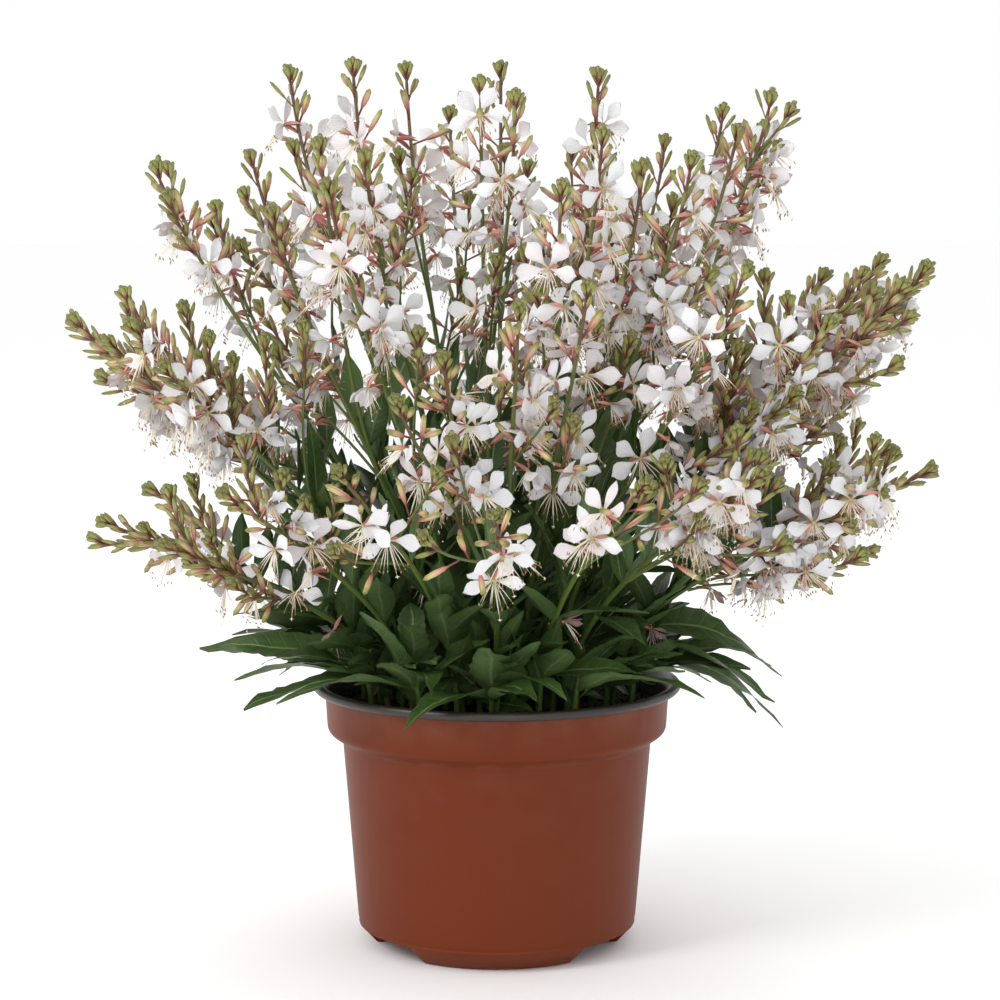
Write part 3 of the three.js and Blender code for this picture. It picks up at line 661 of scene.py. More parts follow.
def poseTwig(line, k, owner, trial):
    look = twigPose
    part = look["first"] + look["step"] * (k % filling["sideTwigs"]) + look["jitter"] * chance(owner, k, 15)
    distance = line.length * part
    fork = line.at(distance)
    turn = look["turnStep"] * k + look["turnRange"] * chance(owner, k, 16) + look["trialTurn"] * trial
    away = around(fork, turn * degree)
    length = (line.length - distance) * (look["share"] + look["shareRange"] * chance(owner, k, 17))
    length = min(max(length, look["shortest"]), look["longest"])
    rise = look["rise"] if k < filling["sideTwigs"] else filling["drooping"]["down"]
    outward = away * (look["away"] + look["awayRange"] * chance(owner, trial, 18))
    heading = unit(outward + fork["along"] * look["along"] + up * rise)
    tip = fork["point"] + heading * length + up * look["lift"] * length
    controls = [fork["point"], fork["point"] + unit(heading + fork["along"]) * look["straight"] * length,
                tip - unit(heading + up * 0.6) * look["straight"] * length, tip]
    twig = GrowingLine(controls, 3, (1.0, 0.8), line.sideways)
    twig.isTwig = True
    return twig


def twigBalls(twig):
    count = math.ceil(twig.length / twigPose["ballStep"])
    places = [twig.at(twig.length * (0.2 + 0.8 * i / count)) for i in range(count + 1)]
    return [ball(place["point"], twigPose["ballRadius"]) for place in places]


def tipOf(plant):
    return plant["lines"][0].controls[3]


def isAtSide(plant):
    return abs(tipOf(plant)[0]) > filling["sideSprays"]


def addTwigs():
    for plant in flowering:
        main, owner = plant["lines"][0], plant["owner"]
        most = filling["sideTwigs" if isAtSide(plant) else "twigs"]
        if isAtSide(plant) and isSunny(plant) and tipOf(plant)[2] < filling["drooping"]["below"]:
            most += filling["drooping"]["twigs"]
        for k in range(most):
            twig = firstClear(twigPose["trials"], lambda trial: poseTwig(main, k, owner, trial),
                              twigBalls, owner)
            if twig and np.all(np.abs(twig.controls[3]) < filling["twigReach"]):
                plant["lines"].append(twig)


def poseExtraBloom(line, gap, index, owner, trial):  # gap is from the tip
    return poseBloom(line, (gap - growth["firstBloom"]) / growth["bloomStep"], index, owner, trial)


spentLook = {"cup": 1.1, "cupRange": 1.8, "wiltedCup": 1.2, "size": 0.84, "nod": 0.3, "wiltedNod": 0.8}


def poseSpent(line, gap, index, owner, trial):  # half-closed, nodding and more or less wilted
    flower = poseExtraBloom(line, gap, index, owner, trial)
    wilt, look = chance(owner, index, 13) ** 1.5, spentLook
    flower["wilt"] = wilt
    flower["cup"] = look["cup"] + look["cupRange"] * chance(owner, index, 12) + look["wiltedCup"] * wilt
    flower["size"] *= look["size"]
    flower["face"] = unit(flower["face"] - up * (look["nod"] + look["wiltedNod"] * wilt))
    flower["top"] = unit(up - flower["face"] * flower["face"][2])
    flower["across"] = np.cross(flower["face"], flower["top"])
    return flower


def spentBalls(flower):
    return [ball(flower["centre"] + flower["face"] * reach, 3) for reach in (1, 8)]


def addFlower(plant, pose, balls, trials, ease, lowest):
    flower = firstClear(trials, pose, balls, plant["owner"], ease)
    if flower and flower["centre"][0] < filling["farOut"]:
        lowest = max(lowest, filling["lowestInside"])
    if flower and flower["centre"][2] > lowest + 26 * chance(*flower["seed"], 14):
        plant["blooms"].append(flower)


def isSunny(plant):
    return tipOf(plant)[0] > filling["sunnySide"]


def lowestOf(plant, usual):
    if not isAtSide(plant):
        isShady = tipOf(plant)[0] < -filling["sunnySide"]
        return filling[usual] + (filling["shadyRaise"] if isShady else 0)
    return filling["lowestAtSides" if isSunny(plant) else "shadyLowest"]


bloomGaps = {  # how far from the tip more flowers stand
    "sunnyTwig": [28, 52], "sideTwig": [42], "twig": [30],
    "lowSunny": [64, 84, 104, 124], "lowShady": [64, 84],
    "outside": [84], "inside": [28, 84], "middle": [24], "lower": [110, 134],
    "spent": [70, 98], "spentShady": [70], "spentTwig": [46],
}


def flowerGaps(plant, which, line):
    aside, isLow = isAtSide(plant), line.controls[3][2] < filling["lowSpray"]
    if line.isTwig and aside and isSunny(plant):
        return bloomGaps["sunnyTwig"]
    if line.isTwig:
        isBare = chance(plant["owner"], which, 103) > filling["twigBlooms"]
        return [] if isBare else bloomGaps["sideTwig" if aside else "twig"]
    if aside and isLow:
        return bloomGaps["lowSunny" if isSunny(plant) else "lowShady"]
    gaps = bloomGaps["outside" if isLow or aside else "inside"]
    if abs(line.controls[3][0]) < filling["middleSprays"] and not isLow:
        gaps = bloomGaps["middle"]
    if not isLow and chance(plant["owner"], which, 104) < filling["bareTips"]:
        gaps = gaps[1:]
    return gaps + (bloomGaps["lower"] if isSunny(plant) else [])


def spentGaps(plant, line):
    if line.isTwig:
        return bloomGaps["spentTwig"]
    return bloomGaps["spent" if isSunny(plant) or not isAtSide(plant) else "spentShady"]


def addFlowers():
    ease = filling["bloomEase"]
    for plant in flowering:
        owner = plant["owner"]
        for which, line in enumerate(plant["lines"]):
            for down, gap in enumerate(flowerGaps(plant, which, line)):
                index = 30 + down + 4 * which
                gap += 6 * chance(owner, index, 11)
                addFlower(plant, lambda trial: poseExtraBloom(line, gap, index, owner, trial), bloomBalls, 18,
                          ease["sunny" if isSunny(plant) and isAtSide(plant) else "usual"],
                          lowestOf(plant, "lowestBloom"))
    for plant in flowering:
        owner = plant["owner"]
        for which, line in enumerate(plant["lines"]):
            for down, gap in enumerate(spentGaps(plant, line)):
                index = 60 + down + 5 * which
                gap += 9 * chance(owner, index, 10)
                addFlower(plant, lambda trial: poseSpent(line, gap, index, owner, trial), spentBalls, 10,
                          ease["spent"], lowestOf(plant, "lowestSpent"))
        if chance(owner, 5, 101) < filling["withered"]:  # old flowers that hang among the leaves
            line = plant["lines"][0]
            gap = line.length * (0.6 + 0.22 * chance(owner, 6, 101))
            flower = firstClear(10, lambda trial: poseSpent(line, gap, 95, owner, trial), spentBalls,
                                owner, ease["withered"])
            if flower:
                flower["wilt"] = 1.0
                plant["blooms"].append(flower)


def leafAt(look, place, turn, lift, length, droop=None):
    droop = look["droop"] if droop is None else droop
    return poseLeaf(place, turn, lift * degree, length, look["width"] * length, droop, look["stations"])


def addLeaves(plant, look, pose):
    for k in range(look["count"]):
        trials = look.get("trials", filling["leafTrials"])
        leaf = firstClear(trials, lambda trial: pose(plant, k, trial), leafBalls,
                          plant["owner"], look["ease"])
        if leaf and chance(plant["owner"], k, 102) > (leaf["root"][2] - 215) / 150:  # fewer among the flowers
            plant["leaves"].append(leaf)


def faceOutward(leaf, tilt):  # turned about its own length, the upper side away from the middle of the pot
    outward = unit(vec(leaf["root"][0], leaf["root"][1], 0))
    normal = np.cross(leaf["side"], leaf["direction"]) + leaf["side"] * leaf["side"].dot(outward) * tilt
    leaf["side"] = unit(np.cross(leaf["direction"], normal))
    return leaf


overhang = {  # large leaves that hang over the rim on both sides
    "count": 3, "trials": 12, "ease": 0.45, "first": 0.5, "step": 0.2, "turn": 16, "turnRange": 30,
    "trialTurn": 21, "lift": 15, "liftRange": 10, "length": 84, "lengthStep": 8, "width": 0.135,
    "stations": 4, "tilt": 1.3, "droops": {"right": 0.55, "left": 0.12},
}
lowLeaf = {
    "count": 3, "ease": 0.5, "first": 2, "step": 9, "jitter": 4, "lift": 16, "liftRange": 54, "length": 46,
    "lengthRange": 30, "turnRange": 240, "trialTurn": 50, "width": 0.12, "droop": 0.2,
    "stations": 2, "tilt": 0.8,
}
highLeaf = {  # up the flowering stems
    "count": 9, "ease": 0.55, "first": 0.1, "step": 0.06, "trialTurn": 0.37, "lift": 30, "liftStep": 4,
    "liftRange": 30, "length": 66, "lengthStep": 3, "width": 0.135, "droop": 0.14, "stations": 2,
}
fillingLeaf = {  # between the shoots' own leaves
    "count": 3, "ease": 0.6, "first": 0.3, "step": 0.12, "trialTurn": 0.41, "lift": 26, "liftRange": 40,
    "length": 68, "lengthStep": 4, "width": 0.145, "droop": 0.25, "stations": 4,
}


def overhangPose(plant, k, trial):
    owner, line, look = plant["owner"], plant["lines"][0], overhang
    place = line.at(line.length * (look["first"] + look["step"] * k))
    side = 1 if k % 2 else -1
    turn = 90 + side * (look["turn"] + look["turnRange"] * chance(owner, k, 47)) + look["trialTurn"] * trial
    lift = look["lift"] + look["liftRange"] * chance(owner, k, 48)
    length = look["length"] - look["lengthStep"] * k - filling["trialLength"] * trial
    droop = look["droops"][plant["sector"]] * (0.8 + 0.4 * chance(owner, k, 49))
    return faceOutward(leafAt(look, place, turn * degree, lift, length, droop), look["tilt"])


def lowPose(plant, k, trial):
    owner, look = plant["owner"], lowLeaf
    place = plant["lines"][0].at(look["first"] + look["step"] * k + look["jitter"] * chance(owner, k, 36))
    lift = look["lift"] + look["liftRange"] * chance(owner, k, 37)
    length = look["length"] + look["lengthRange"] * chance(owner, k, 38) - filling["trialLength"] * trial
    turn = 90 + look["turnRange"] * (chance(owner, k, 39) - 0.5) + look["trialTurn"] * trial
    return faceOutward(leafAt(look, place, turn * degree, lift, length), look["tilt"])


def highPose(plant, k, trial):
    owner, line, look = plant["owner"], plant["lines"][0], highLeaf
    place = line.at(line.length * (look["first"] + look["step"] * k))
    turn = goldenTurn * (k + look["trialTurn"] * trial) + fullTurn * chance(owner, k, 31)
    lift = look["lift"] + look["liftStep"] * k + look["liftRange"] * chance(owner, k, 32)
    length = (look["length"] - look["lengthStep"] * k) * (0.78 + 0.34 * chance(owner, k, 33))
    return leafAt(look, place, turn, lift, length - filling["trialLength"] * trial)


def fillingPose(plant, k, trial):
    owner, line, look = plant["owner"], plant["lines"][0], fillingLeaf
    place = line.at(line.length * (look["first"] + look["step"] * k))
    turn = goldenTurn * (k + look["trialTurn"] * trial) + fullTurn * chance(owner, k, 34)
    lift = look["lift"] + look["liftRange"] * chance(owner, k, 35)
    length = look["length"] - look["lengthStep"] * k - filling["trialLength"] * trial
    return leafAt(look, place, turn, lift, length)


def addFoliage():
    for plant in plants[len(sprays):]:
        if plant["sector"] in overhang["droops"]:
            addLeaves(plant, overhang, overhangPose)
    for plant in plants:
        addLeaves(plant, lowLeaf, lowPose)
        if plant["leafCount"]:
            addLeaves(plant, fillingLeaf, fillingPose)
        else:
            addLeaves(plant, highLeaf, highPose)


def addSpikeBuds(plant, which, line):
    plant["buds"] += [headBud(line, k, plant["owner"], which) for k in range(headPose["count"])]
    oldest = filling["oldTwigBuds" if line.isTwig else "oldBuds"]
    share = (0.55 if line.isTwig else 0.64) + 0.36 * chance(plant["owner"], which, 19)
    share *= 1 if isAtSide(plant) else filling["inwardShare"]
    if line.controls[3][1] < filling["forward"]["beyond"]:
        share *= filling["forward"]["share"]
        oldest = min(oldest, filling["forward"]["oldBuds"])
    addBuds(plant, which, line, youngBud, round(youngOn(line)["count"] * share))
    addBuds(plant, which, line, oldBud, oldest)


addTwigs()
addFlowers()
for plant in flowering:
    for which, line in enumerate(plant["lines"]):
        addSpikeBuds(plant, which, line)
addFoliage()
print(f"filled in: {total('lines', flowering) - len(flowering)} side twigs,",
      f"{total('blooms', plants)} flowers, {total('buds', plants)} buds, {total('leaves', plants)} leaves")


# Finishes

def linear(red, green, blue):
    values = [c / 255 for c in (red, green, blue)]
    return tuple(c / 12.92 if c <= 0.04045 else ((c + 0.055) / 1.055) ** 2.4 for c in values) + (1.0,)


class Nodes:
    def __init__(self, tree):
        self.tree = tree

    def feed(self, socket, value):
        if isinstance(value, bpy.types.NodeSocket):
            self.tree.links.new(value, socket)
        else:
            socket.default_value = value

    def node(self, kind, inputs=None, **values):
        node = self.tree.nodes.new(kind)
        for key, value in values.items():
            setattr(node, key, value)
        for key, value in (inputs or {}).items():
            self.feed(node.inputs[key], value)
        return node

    def math(self, operation, a, b=0.0):
        return self.node("ShaderNodeMath", {0: a, 1: b}, operation=operation).outputs[0]

    def times(self, a, b):
        return self.math("MULTIPLY", a, b)


class Finish(Nodes):
    def __init__(self, name, roughness, specular=0.5, subsurface=0.0):
        self.material = bpy.data.materials.new(name)
        self.material.use_nodes = True
        super().__init__(self.material.node_tree)
        self.shader = self.tree.nodes["Principled BSDF"]
        self.shader.inputs["Roughness"].default_value = roughness
        self.shader.inputs["Specular IOR Level"].default_value = specular
        if subsurface:
            self.shader.inputs["Subsurface Weight"].default_value = subsurface
            self.shader.inputs["Subsurface Radius"].default_value = (1, 0.8, 0.7)
            self.shader.inputs["Subsurface Scale"].default_value = 0.002

    def attributes(self, *names):
        return [self.node("ShaderNodeAttribute", attribute_name=name).outputs["Fac"] for name in names]

    def noise(self, scale, detail=3.0, stretch=(1, 1, 1)):
        place = self.node("ShaderNodeTexCoord").outputs["Object"]
        mapping = self.node("ShaderNodeMapping", {"Scale": stretch, "Vector": place})
        inputs = {"Scale": scale, "Detail": detail, "Vector": mapping.outputs["Vector"]}
        return self.node("ShaderNodeTexNoise", inputs).outputs["Fac"]

    def ramp(self, value, *stops):  # each stop is a place and a colour
        node = self.node("ShaderNodeValToRGB", {"Fac": value})
        elements = node.color_ramp.elements
        while len(elements) < len(stops):
            elements.new(0.5)
        for element, (place, *colour) in zip(elements, stops):
            element.position = place
            element.color = linear(*colour)
        return node.outputs["Color"]

    def spread(self, value, low, high, share=1.0):  # from nothing at low to share at high
        inputs = {"Value": value, "From Min": low, "From Max": high}
        spread = self.node("ShaderNodeMapRange", inputs).outputs["Result"]
        return spread if share == 1 else self.times(spread, share)

    def mix(self, factor, a, b):
        a, b = (linear(*colour) if isinstance(colour, tuple) else colour for colour in (a, b))
        return self.node("ShaderNodeMix", {0: factor, 6: a, 7: b}, data_type="RGBA").outputs[2]

    def colour(self, value):
        self.feed(self.shader.inputs["Base Color"], value)

    def bump(self, height, distance, strength=1.0):
        node = self.node("ShaderNodeBump", {"Strength": strength, "Distance": distance, "Height": height})
        self.feed(self.shader.inputs["Normal"], node.outputs["Normal"])


def petalFinish():
    finish = Finish("petalWhite", 0.55, 0.35, 0.12)
    along, across, tone, age = finish.attributes("along", "across", "tone", "age")
    base = finish.ramp(along, (0.0, 178, 182, 108), (0.12, 220, 208, 194), (0.3, 234, 234, 235),
                       (1.0, 237, 237, 239))
    rays = finish.math("ABSOLUTE", finish.math("SINE", finish.times(across, 15.0)))
    veins = finish.times(finish.math("POWER", rays, 6.0), 0.3)
    veined = finish.mix(veins, base, (182, 176, 184))
    fresh = finish.mix(finish.spread(tone, 0.65, 1.0, 0.35), veined, (224, 196, 199))
    wilted = finish.mix(along, (186, 140, 128), (132, 90, 80))
    finish.colour(finish.mix(finish.spread(age, 0.35, 1.1), fresh, wilted))
    finish.bump(veins, 0.0006, 0.6)
    return finish.material


def stamenFinish():
    finish = Finish("stamenCream", 0.5, 0.4)
    part, = finish.attributes("along")
    finish.colour(finish.ramp(part, (0.0, 206, 202, 142), (0.2, 228, 220, 206), (0.75, 220, 206, 184),
                              (0.9, 172, 136, 90), (1.0, 124, 88, 58)))
    return finish.material


def sepalFinish():
    finish = Finish("sepalSalmon", 0.5, 0.4)
    along, tone = finish.attributes("along", "tone")
    colour = finish.ramp(along, (0.0, 196, 126, 111), (0.5, 205, 150, 132), (1.0, 179, 158, 111))
    finish.colour(finish.mix(finish.spread(tone, 0.5, 1.0, 0.75), colour, (156, 71, 83)))
    return finish.material


def tubeFinish():
    finish = Finish("tubeRed", 0.5, 0.4)
    along, tone = finish.attributes("along", "tone")
    colour = finish.ramp(along, (0.0, 86, 58, 39), (0.22, 105, 90, 49), (0.42, 124, 86, 56),
                         (0.55, 180, 113, 96), (0.9, 201, 152, 133), (1.0, 186, 179, 122))
    finish.colour(finish.mix(finish.times(tone, 0.5), colour, (158, 70, 73)))
    return finish.material


def budFinish():
    finish = Finish("budGreenSalmon", 0.42, 0.5)
    along, across, age, tone = finish.attributes("along", "across", "age", "tone")
    grown = finish.ramp(along, (0.0, 85, 43, 36), (0.32, 130, 64, 53), (0.44, 194, 124, 107),
                        (0.62, 207, 165, 133), (0.78, 194, 182, 128), (0.92, 137, 141, 68), (1.0, 83, 81, 41))
    young = finish.ramp(along, (0.0, 92, 51, 41), (0.36, 126, 81, 62), (0.56, 158, 158, 92),
                        (0.85, 130, 141, 70), (1.0, 71, 56, 36))
    grownUp = finish.mix(finish.spread(age, 0.3, 0.8), young, grown)
    seamed = finish.mix(finish.spread(across, 0.2, 1.0, 0.55), grownUp, (115, 68, 51))
    finish.colour(finish.mix(finish.spread(tone, 0.5, 1.0, 0.38), seamed, (105, 66, 47)))
    return finish.material


def stemFinish():
    finish = Finish("stemGreen", 0.45, 0.5)
    along, = finish.attributes("along")
    # Darker green towards the foot of the stem: painted shade low among the leaves. Reddish brown towards the
    # tip is the stem's own colour.
    stem = finish.ramp(along, (0.0, 71, 98, 41), (0.3, 79, 107, 43), (0.84, 94, 105, 51), (0.93, 102, 75, 51),
                       (1.0, 90, 49, 39))
    mottle = finish.spread(finish.noise(160, 3, (1, 1, 0.25)), 0.42, 0.72, 0.38)
    finish.colour(finish.mix(mottle, stem, (98, 64, 43)))
    return finish.material


def leafFinish():
    finish = Finish("leafGreen", 0.42, 0.3)
    along, across, tone, under = finish.attributes("along", "across", "tone", "under")
    side = finish.math("ABSOLUTE", across)
    mottle = finish.noise(95, 4)
    dark = finish.mix(finish.spread(mottle, 0.3, 0.7), (44, 65, 28), (66, 92, 40))
    # Light green by tone; as low leaves carry low tones, this is partly painted shade low in the plant.
    fresh = finish.mix(finish.spread(tone, 0.5, 1.0, 0.75), dark, (92, 116, 58))
    slanted = finish.math("SUBTRACT", along, finish.times(side, 0.11))
    waves = finish.math("SINE", finish.times(slanted, 62.0))
    ribs = finish.math("POWER", finish.math("MAXIMUM", waves, 0.0), 8.0)
    veined = finish.mix(finish.times(ribs, 0.12), fresh, (110, 132, 86))
    midrib = finish.math("SUBTRACT", 1.0, finish.spread(side, 0.02, 0.1))
    ribbed = finish.mix(finish.times(midrib, 0.65), veined, (128, 148, 96))
    finish.colour(finish.mix(finish.times(under, 0.5), ribbed, (88, 108, 68)))
    finish.bump(finish.math("ADD", finish.times(ribs, -0.4), finish.times(mottle, 0.6)), 0.0006, 0.5)
    return finish.material


def potFinish():
    finish = Finish("potTerracotta", 0.46, 0.12)
    wear, = finish.attributes("wear")
    base = finish.mix(finish.spread(finish.noise(9, 2), 0.3, 0.75), (102, 44, 20), (107, 48, 24))
    dust = finish.times(wear, finish.spread(finish.noise(70, 5), 0.3, 0.75))
    finish.colour(finish.mix(finish.times(dust, 0.4), base, (136, 98, 84)))
    finish.bump(finish.noise(700, 2), 0.00005, 0.2)
    return finish.material


def lipFinish():
    finish = Finish("lipDarkGrey", 0.38, 0.5)
    finish.colour(finish.mix(finish.spread(finish.noise(40, 4), 0.4, 0.75), (38, 32, 29), (51, 43, 39)))
    return finish.material


def peatFinish():
    finish = Finish("peatDark", 0.95, 0.2)
    finish.colour(finish.ramp(finish.noise(260, 6), (0.3, 26, 19, 15), (0.55, 52, 38, 29), (0.8, 84, 64, 47)))
    finish.bump(finish.noise(700, 5), 0.001, 0.8)
    return finish.material


# Shapes that the nodes repeat

class Shape:
    def __init__(self):
        self.corners, self.faces = [], []
        self.values = {"along": [], "across": [], "under": []}

    def corner(self, point, along=0.0, across=0.0, under=0.0):
        self.corners.append(tuple(point))
        for key, value in (("along", along), ("across", across), ("under", under)):
            self.values[key].append(value)
        return len(self.corners) - 1

    def blade(self, stations, columns, place, thickness, tint=lambda part: part):
        tops, unders = {}, {}
        for i in range(stations + 1):
            part = i / stations
            for j in range(columns + 1):
                side = 2 * j / columns - 1
                middle, normal = place(part, side)
                edge = i in (0, stations) or j in (0, columns)
                if edge:
                    tops[i, j] = unders[i, j] = self.corner(middle, tint(part), side, 0.3)
                else:
                    half = thickness * 0.5 * math.sqrt(max(1 - side * side, 0))
                    tops[i, j] = self.corner(middle + normal * half, tint(part), side, 0)
                    unders[i, j] = self.corner(middle - normal * half, tint(part), side, 1)
        for i in range(stations):
            for j in range(columns):
                cells = [(i, j), (i + 1, j), (i + 1, j + 1), (i, j + 1)]
                self.faces.append([tops[c] for c in cells])
                self.faces.append([unders[c] for c in reversed(cells)])

    def tube(self, points, radii, sides, tints):
        points = [np.array(p, float) for p in points]
        rings = []
        for i, point in enumerate(points[1:-1], 1):
            along = unit(points[i + 1] - points[i - 1])
            across = unit(np.cross(along, (0.13, 0.97, 0.21)))
            outward = np.cross(along, across)
            turns = [2 * math.pi * k / sides for k in range(sides)]
            spokes = [(across * math.cos(a) + outward * math.sin(a)) * radii[i] for a in turns]
            rings.append([self.corner(point + spoke, tints[i], math.cos(3 * a))
                          for spoke, a in zip(spokes, turns)])
        first = self.corner(points[0], tints[0])
        last = self.corner(points[-1], tints[-1])
        for k in range(sides):
            n = (k + 1) % sides
            self.faces.append([first, rings[0][n], rings[0][k]])
            self.faces.append([last, rings[-1][k], rings[-1][n]])
            for a, b in zip(rings, rings[1:]):
                self.faces.append([a[k], a[n], b[n], b[k]])

    def build(self, name, folder):
        mesh = newMesh(name, self.corners, [], self.faces)
        for key, values in self.values.items():
            mesh.attributes.new(key, "FLOAT", "POINT").data.foreach_set("value", values)
        mesh.validate()
        shape = bpy.data.objects.new(name, mesh)
        folder.objects.link(shape)
        return shape


petalLook = {
    "length": 15.0, "stations": 7, "columns": 4, "thickness": 0.24,
    # Part of the length and half width there
    "outline": [(0, 0.3), (0.14, 0.42), (0.3, 1.5), (0.48, 3.3), (0.64, 4.2), (0.78, 3.9), (0.9, 2.4),
                (1, 0.15)],
    "tipCrowding": 1.25,
    # Curl, fold, wave and skew of each kind of petal
    "kinds": [(1.2, 0.7, 0.5, 0.4), (-1.6, 1.4, -0.6, -0.5), (2.4, -0.5, 0.7, 0.2), (-0.4, 1.1, -0.4, 0.7),
              (-3.0, 0.8, 0.5, -0.3)],
}


def makePetals(folder):
    places, widths = zip(*petalLook["outline"])
    for kind, (curl, fold, wave, skew) in enumerate(petalLook["kinds"]):
        shape = Shape()

        def place(part, side):
            part = 1 - (1 - part) ** petalLook["tipCrowding"]
            width = float(np.interp(part, places, widths))
            x = petalLook["length"] * part * (1 - 0.05 * side * side * part)
            z = (curl * part ** 3 - fold * side * side * math.sin(math.pi * part)
                 + wave * side * math.sin(2 * math.pi * part))
            return vec(x, side * width + skew * math.sin(math.pi * part), z) * mm, up

        shape.blade(petalLook["stations"], petalLook["columns"], place, petalLook["thickness"] * mm)
        shape.build(f"petal{kind}", folder)


stamenLook = {
    "count": 8, "length": 13.0, "radius": 0.23, "antherLength": 2.4, "antherRadius": 0.4,
    "styleLength": 16, "fan": 2.1,
}


def makeStamens(folder):
    for kind in range(3):
        shape = Shape()
        for i in range(stamenLook["count"] + 1):
            isStyle = i == stamenLook["count"]
            fan = (i / (stamenLook["count"] - 1) - 0.5) * stamenLook["fan"]
            fan += 0.3 * (chance(kind, i, 41) - 0.5)
            length = stamenLook["length"] * (0.82 + 0.25 * chance(kind, i, 43))
            if isStyle:
                fan = 0.3 * (chance(kind, 1, 45) - 0.5)
                length = stamenLook["styleLength"]
            dip = 0.2 + 0.7 * chance(kind, i, 42)
            heading = unit(vec(0.5 + 0.2 * math.cos(fan), math.sin(fan) * 0.75, -0.75 * dip - 0.2))
            points = [vec(0.2, 0.5 * math.sin(fan), -0.2)]
            for part in (0.3, 0.68, 1):
                points.append(points[0] + heading * length * part - up * 0.2 * length * part ** 2.2)
            radius = stamenLook["radius"] * (1.35 if isStyle else 1)
            tints = [0.0, 0.25, 0.5, 0.75]
            shape.tube([p * mm for p in points], [0, radius * 1.2 * mm, radius * mm, 0], 3, tints)
            end = points[-1]
            if isStyle:
                for arm in (vec(0, 1.2, 0), vec(0, 0, 1.2)):  # the cross-shaped stigma
                    points = [(end - arm) * mm, end * mm, (end + arm) * mm]
                    shape.tube(points, [0, 0.36 * mm, 0], 3, [0.5, 0.5, 0.5])
            else:
                lean = unit(vec(chance(kind, i, 46) - 0.5, chance(kind, i, 47) - 0.5, -0.9))
                half = stamenLook["antherLength"] / 2
                points = [(end + lean * half * s) * mm for s in (-1, 0, 1)]
                shape.tube(points, [0, stamenLook["antherRadius"] * mm, 0], 4, [1.0, 0.9, 1.0])
        shape.build(f"stamens{kind}", folder)


sepalLook = {
    "length": 10.0, "halfWidth": 1.05, "thickness": 0.45, "droop": 2.4, "angles": (-20, 40, 190, 250),
}


def makeSepals(folder):
    for kind in range(3):
        shape = Shape()
        for i, angle in enumerate(sepalLook["angles"]):
            turn = (angle + 40 * (chance(kind, i, 51) - 0.5)) * degree
            out = vec(0, math.cos(turn), math.sin(turn))
            back = 0.7 + 0.3 * chance(kind, i, 52)
            length = sepalLook["length"] * (0.85 + 0.25 * chance(kind, i, 53))

            def place(part, side):
                width = sepalLook["halfWidth"] * math.sin(math.pi * min(part + 0.12, 1)) ** 0.7
                middle = out * (0.9 + 0.42 * length * part) - vec(1, 0, 0) * length * back * part
                middle = middle - up * sepalLook["droop"] * part * part
                across = np.cross(out, vec(1, 0, 0))
                return (middle + across * side * width) * mm, unit(vec(1, 0, 0) + out * back)

            shape.blade(3, 2, place, sepalLook["thickness"] * mm)
        shape.build(f"sepals{kind}", folder)


budLook = {
    # sides, then rows of part of the length and part of the half width
    "stalked": (6, [(0, 0.2), (0.1, 0.3), (0.36, 0.34), (0.46, 0.74), (0.66, 1.0), (0.9, 0.84), (1, 0)]),
    "crown": (6, [(0, 0.25), (0.3, 0.6), (0.62, 1.0), (0.9, 0.9), (1, 0)]),
    "seated": (6, [(0, 0.25), (0.2, 0.5), (0.45, 0.9), (0.68, 1.0), (0.9, 0.66), (1, 0)]),
}


def makeBuds(folder):
    for kind, name in enumerate(("stalked", "crown", "seated")):
        sides, profile = budLook[name]
        shape = Shape()
        points = [vec(-0.02, 0, 0)] + [vec(x, 0, 0) for x, _ in profile]
        shape.tube(points, [0] + [r for _, r in profile], sides, [0] + [x for x, _ in profile])
        shape.build(f"bud{kind}", folder)


leafLook = {
    "thickness": 0.055, "fold": 0.24, "tooth": 0.07,
    # Stations, columns, whether it has teeth, and its wave, for each kind of leaf
    "kinds": [(14, 6, True, 0.13), (14, 6, True, -0.16), (8, 4, False, 0.1), (8, 4, False, -0.12)],
}


def makeLeafBlades(folder):
    for kind, (stations, columns, teeth, wave) in enumerate(leafLook["kinds"]):
        shape = Shape()

        def place(part, side):
            width = math.sin(math.pi * max(part, 0.004) ** 0.85) ** (0.8 + 0.45 * part) if part < 1 else 0.02
            width = max(width * (0.35 + 0.65 * min(part / 0.2, 1)), 0.05 if part < 1 else 0.0)
            if teeth and 0.15 < part < 0.9 and abs(side) == 1:
                width *= 1 + leafLook["tooth"] * (1 if int(round(part * stations)) % 2 else -0.55)
            z = leafLook["fold"] * abs(side) * width + wave * side * math.sin(part * 9)
            return vec(part, side * width, z), up

        shape.blade(stations, columns, place, leafLook["thickness"])
        shape.build(f"blade{kind}", folder)


def hiddenFolder(name, make):
    folder = bpy.data.collections.new(name)
    make(folder)
    return folder


petals = hiddenFolder("petals", makePetals)
stamens = hiddenFolder("stamens", makeStamens)
sepals = hiddenFolder("sepals", makeSepals)
buds = hiddenFolder("buds", makeBuds)
blades = hiddenFolder("blades", makeLeafBlades)
print("small shapes made")


# Geometry node trees

